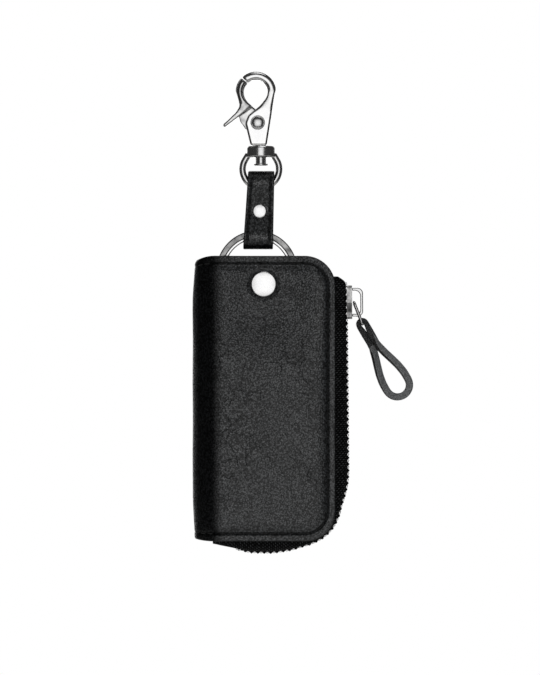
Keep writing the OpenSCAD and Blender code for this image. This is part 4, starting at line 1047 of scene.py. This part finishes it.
def tape_line(s):
    """The tape across its width, from under the leather out and round to its teeth."""
    open_end = (SLIDER_MID + 0.2 * SLIDER_LEN - s) / (0.28 * SLIDER_LEN)
    parted = TAPE_PARTED * float(ease(open_end))
    b, d = bulge(s), under_leather(s, 0)
    room = d - (TAPE_EDGE + 2.2 + 1.07 * parted)
    turn_x = max(TURN_LEAST, min(b - TURN_FLAT, room))
    turn_y = min(room, max(turn_x, 0.8))
    under = min(0, b - turn_x - TURN_FLAT)
    line = [(out, under_leather(s, out)) for out in (-TAPE_IN, (under - TAPE_IN) / 2)]
    line.append((under, d))
    for t in np.radians(np.linspace(0, 90, 7)):
        line.append((b - turn_x * (1 - math.sin(t)), d - turn_y * (1 - math.cos(t))))
    return line + [(b, TAPE_EDGE + parted)]


twill, twill_tree, twill_shader = new_finish("black_twill")
cloth = twill_tree.nodes.new("ShaderNodeUVMap").outputs["UV"]
threads = []
for way_across, waves in (("DIAGONAL", 444 / 0.95), ("Y", 314 / 0.8)):
    thread = texture(twill_tree, "Wave", waves, cloth, Distortion=0.7, Detail=1)
    thread.node.bands_direction = way_across
    threads.append((thread, 0.5))
lint = texture(twill_tree, "Noise", 1300)
weave = sums(twill_tree, threads)
glint = sums(twill_tree, [(weave, 0.6), (lint, 0.7)])
twill_colour = tint(
    twill_tree, glint, (0.0012, 0.0012, 0.0013), (0.06, 0.062, 0.065), 0.76, 1.0,
)
wire(twill_tree, [
    (twill_colour, twill_shader.inputs["Base Color"]),
    (ramp(twill_tree, weave, 0.85, 0.6), twill_shader.inputs["Roughness"]),
])
twill_shader.inputs["Specular IOR Level"].default_value = 0.08
relief(twill_tree, twill_shader, weave, 0.12)


def tape_row(s, phase):
    """The tape's points at s: their places past the edge, their depths and their runs."""
    line = resampled(tape_line(s), 0.18)
    run = measured(line)
    spots = np.concatenate([
        np.linspace(0, run[-1] - CORD_ZONE, FLAT_COLUMNS),
        run[-1] - CORD_ZONE + np.linspace(0, CORD_ZONE, CORD_COLUMNS + 1)[1:],
    ])
    line = taken(smoothed(line, 3), run, spots)
    way = tangents(line)
    between = 0.5 - 0.5 * math.cos(2 * math.pi * ((s - TEETH_FROM) / TOOTH_PITCH - phase))
    if not TEETH_FROM - 1 < s < TEETH_TO:
        between = 0.35
    if s < SLIDE_FROM + SLIDER_LEN:
        between *= 0.7
    cord = CORD_HELD + (CORD_R - CORD_HELD) * between
    from_edge = np.clip((run[-1] - spots - CORD_IN / 2) / (CORD_IN / 2), -1, 1)
    flat_half = TAPE_T / 2 * np.sqrt(np.clip((spots + 0.02) / 0.3, 0.1, 1))
    half = np.maximum(flat_half, cord * np.sqrt(np.clip(1 - from_edge ** 2, 0, 1)))
    half[-1] = CORD_END
    row = []
    for flank in (1, -1):
        out = line[:, 0] - flank * way[:, 1] * half
        y = line[:, 1] + flank * way[:, 0] * half
        row += list(zip(out, y, spots))[::flank]
    return row


TAPE_AROUND = 2 * TAPE_ACROSS
tape_faces = tube_faces(TAPE_ROWS, TAPE_AROUND)
for base in (0, (TAPE_ROWS - 1) * TAPE_AROUND):
    tape_faces += [
        (base + j, base + j + 1, base + TAPE_AROUND - 2 - j, base + TAPE_AROUND - 1 - j)
        for j in range(TAPE_ACROSS - 1)
    ]
for face_name, side, body, phase in (("front", -1, "front", 0), ("back", 1, "case", 0.5)):
    points, places = [], []
    for s in np.linspace(0, ZIP_RUN, TAPE_ROWS):
        for out, y, spot in tape_row(s, phase):
            x, z = past_edge(s, out)
            points.append((x, side * y, z))
            places.append((spot * MM, s * MM))
    mesh = shaped(f"{face_name}_tape", points, tape_faces)
    chart = mesh.uv_layers.new(name="cloth")
    for loop in mesh.loops:
        chart.data[loop.index].uv = places[loop.vertex_index]
    tape = put(f"{face_name}_tape", welded(mesh, 0), [twill], body)
    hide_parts(f"{face_name}_zip_tape")

# Zip teeth and stops. Each tooth is pressed from half-round nickel wire and
# clamped on the tape's corded edge; a staple closes each end of the chain.
TOOTH_EDGE = 0.16
tooth_nickel = nickel("tooth_nickel", 0.8, 0.22)
for face_name, body in (("front", "front"), ("back", "case")):
    machined(f"{face_name}_teeth", f"{face_name}_zip_teeth", body, tooth_nickel, TOOTH_EDGE)
    machined(f"{face_name}_stop", f"{face_name}_top_stop", body, tooth_nickel, TOOTH_EDGE)
machined("bottom_stop", "zip_bottom_stop", "case", tooth_nickel, TOOTH_EDGE)

# Slider. A die-cast body with two cheeks round the chain, and a bridge riveted
# on its outer plate that keeps the pull's link.
slider_nickel = nickel("slider_nickel", 0.58, 0.24, ripple=0.02, stain=0.16)
machined("slider_casting", "slider_body", "slider", slider_nickel, edge=0.3, steps=3)
machined("slider_arch", "slider_bridge", "slider", grey_nickel, edge=0.4, steps=3)

# Pull link. One piece of round wire, bent to a long ring and closed with a butt
# joint behind the slider's bridge.
LINK_TOP, LINK_LEAN = (38.035, -81.677), math.radians(21)
LINK_WIRE, LINK_LEN, LINK_HALF, LINK_BEND = 1.1, 9.1, 3.75, 1.1


def pull_place(across, side, down, top, lean):
    """A point of the pull: across its face, towards the back, and down along it."""
    return (
        top[0] + across * math.cos(lean) + down * math.sin(lean),
        side,
        top[1] + across * math.sin(lean) - down * math.cos(lean),
    )


link_line = []
bend_side, bend_down = LINK_HALF - LINK_BEND, LINK_LEN - LINK_BEND
for side, down, start in (
    (bend_side, LINK_BEND, 90), (bend_side, bend_down, 0),
    (-bend_side, bend_down, -90), (-bend_side, LINK_BEND, 180),
):
    for a in np.radians(np.linspace(start, start - 90, 9)):
        link_line.append((side + LINK_BEND * math.cos(a), down - LINK_BEND * math.sin(a)))
link_line.append(link_line[0])
link_line = resampled(link_line, 0.28)[:-1]
link_rings = []
for i, (side, down) in enumerate(link_line):
    one, two = link_line[i - 1], link_line[(i + 1) % len(link_line)]
    way = (two - one) / np.linalg.norm(two - one)
    ring = []
    for a in np.radians(np.arange(0, 360, 15)):
        up, off = LINK_WIRE / 2 * math.sin(a), LINK_WIRE / 2 * math.cos(a)
        ring.append(
            pull_place(up, side - way[1] * off, down + way[0] * off, LINK_TOP, LINK_LEAN)
        )
    link_rings.append(ring)
link_nickel = nickel("link_nickel", 0.6, 0.14)
link = put("pull_wire", sweep("pull_wire", link_rings, closed=True), [link_nickel], "link")
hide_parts("pull_link")

# Pull thong. One narrow strip of the case's leather is folded over the link's
# lower bar, its two cut ends lying side by side, and hangs in a loop.
THONG_T, THONG_W, THONG_LEN, THONG_SPREAD = 2.0, 2.8, 32.0, 9.4
THONG_PARED, THONG_EDGE_R, THONG_STEP = 0.05, 0.42, 0.35
WRAP_R, THONG_SIDE = 1.6, 1.5
END_LEN, LOW_R, LEG_IN = 0.28 * THONG_LEN, THONG_SPREAD / 2, 0.42 * THONG_T
THONG_TOP = pull_place(0, 0, LINK_LEN, LINK_TOP, LINK_LEAN)[::2]
THONG_LEAN, FACED, LEANING = math.radians(30), math.radians(90), math.radians(34)
TWIST_FROM, TWIST_RUN = 18, 9
thong_line = [(-0.92 * WRAP_R, END_LEN, 0), (-WRAP_R, END_LEN / 2, 0)]
for a in np.radians(np.arange(0, 181, 15)):
    thong_line.append((-WRAP_R * math.cos(a), -WRAP_R * math.sin(a), 0))
thong_line += [
    (WRAP_R + (LEG_IN - WRAP_R) * 0.75, 0.3 * END_LEN, 0),
    (LEG_IN, 0.55 * END_LEN, 0), (LEG_IN, 0.8 * END_LEN, 0),
]
leg_from, leg_to = 0.8 * END_LEN, THONG_LEN - LOW_R
for i in range(1, 6):
    spread = LEG_IN + (LOW_R - LEG_IN) * float(ease(i / 5.4))
    thong_line.append((spread, leg_from + (leg_to - leg_from) * i / 6, 0))
for i in range(6):
    a = math.radians(16 * i)
    to_middle = float(ease(0.9 * i / 5)) / 1.1
    thong_line.append((LOW_R * math.cos(a), leg_to + LOW_R * math.sin(a), to_middle))
one_side = [(-x, THONG_SIDE * (1 - m), down) for x, down, m in thong_line]
other_side = [(x, -THONG_SIDE * (1 - m), down) for x, down, m in thong_line]
thong_route = one_side + [(0, 0, THONG_LEN)] + other_side[::-1]
thong_route = smoothed(resampled(thong_route, THONG_STEP), 8)
thong_rings = []
for i, ((x, side, down), way) in enumerate(zip(thong_route, tangents(thong_route))):
    flat = math.hypot(way[0], way[2])
    nx, nd = -way[2] / flat, way[0] / flat
    last = len(thong_route) - 1
    from_end = THONG_STEP * min(i, last - i)
    half_way = float(ease(0.5 + 1.6 * (i / last - 0.5)))
    turned = float(ease((from_end - TWIST_FROM) / TWIST_RUN))
    twist = (FACED + LEANING * (1 - 2 * half_way)) * turned
    ring = []
    for u, v in strip_section(THONG_W - THONG_PARED, THONG_T - THONG_PARED, THONG_EDGE_R):
        u, v = u * math.cos(twist) - v * math.sin(twist), u * math.sin(twist) + v * math.cos(twist)
        ring.append(pull_place(x + v * nx, side + u, down + v * nd, THONG_TOP, THONG_LEAN))
    thong_rings.append(ring)
# Painted light: the strip's broad faces take a tone about ten times lighter than the case's
# leather.
thong_leather = leather(
    "thong_leather", (0.17, 0.176, 0.18), grain=0.5, dull=0.36, sheen=0.9, depth=0.08,
    grain_and_shading=(0.6, 1.5),
)
thong_edge = leather(
    "thong_edge", (0.009, 0.0094, 0.0098), grain=0.6, dull=0.4, sheen=0.7, depth=0.16,
)
CUT_SIDES = (7, 8, 9, 10, 11, 17, 18, 19, 0, 1)
thong_mesh = sweep("pull_strip", thong_rings, edge_columns=CUT_SIDES)
thong = put("pull_strip", thong_mesh, [thong_leather, thong_edge], "thong")
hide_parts("pull_thong")

# Press stud. Its cap is a domed shell of nickel-plated brass; socket, stud and the
# back's post are turned, and riveted through leather and lining.
SNAP_FACE, CAP_R, CAP_H = 5.332, 4.85, 1.7
cap_profile = button(CAP_R, SNAP_FACE + 0.02, SNAP_FACE + CAP_H, roll=0.36, crown=0.3)
cap = lathe("press_cap", cap_profile, SNAP, bright_nickel, "front", around=96)
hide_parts("snap_cap")
machined("press_socket", "snap_socket", "front", grey_nickel, edge=0.12)
machined("press_stud", "snap_stud", "case", grey_nickel, edge=0.12)
machined("press_post", "snap_post", "case", grey_nickel, edge=0.25)
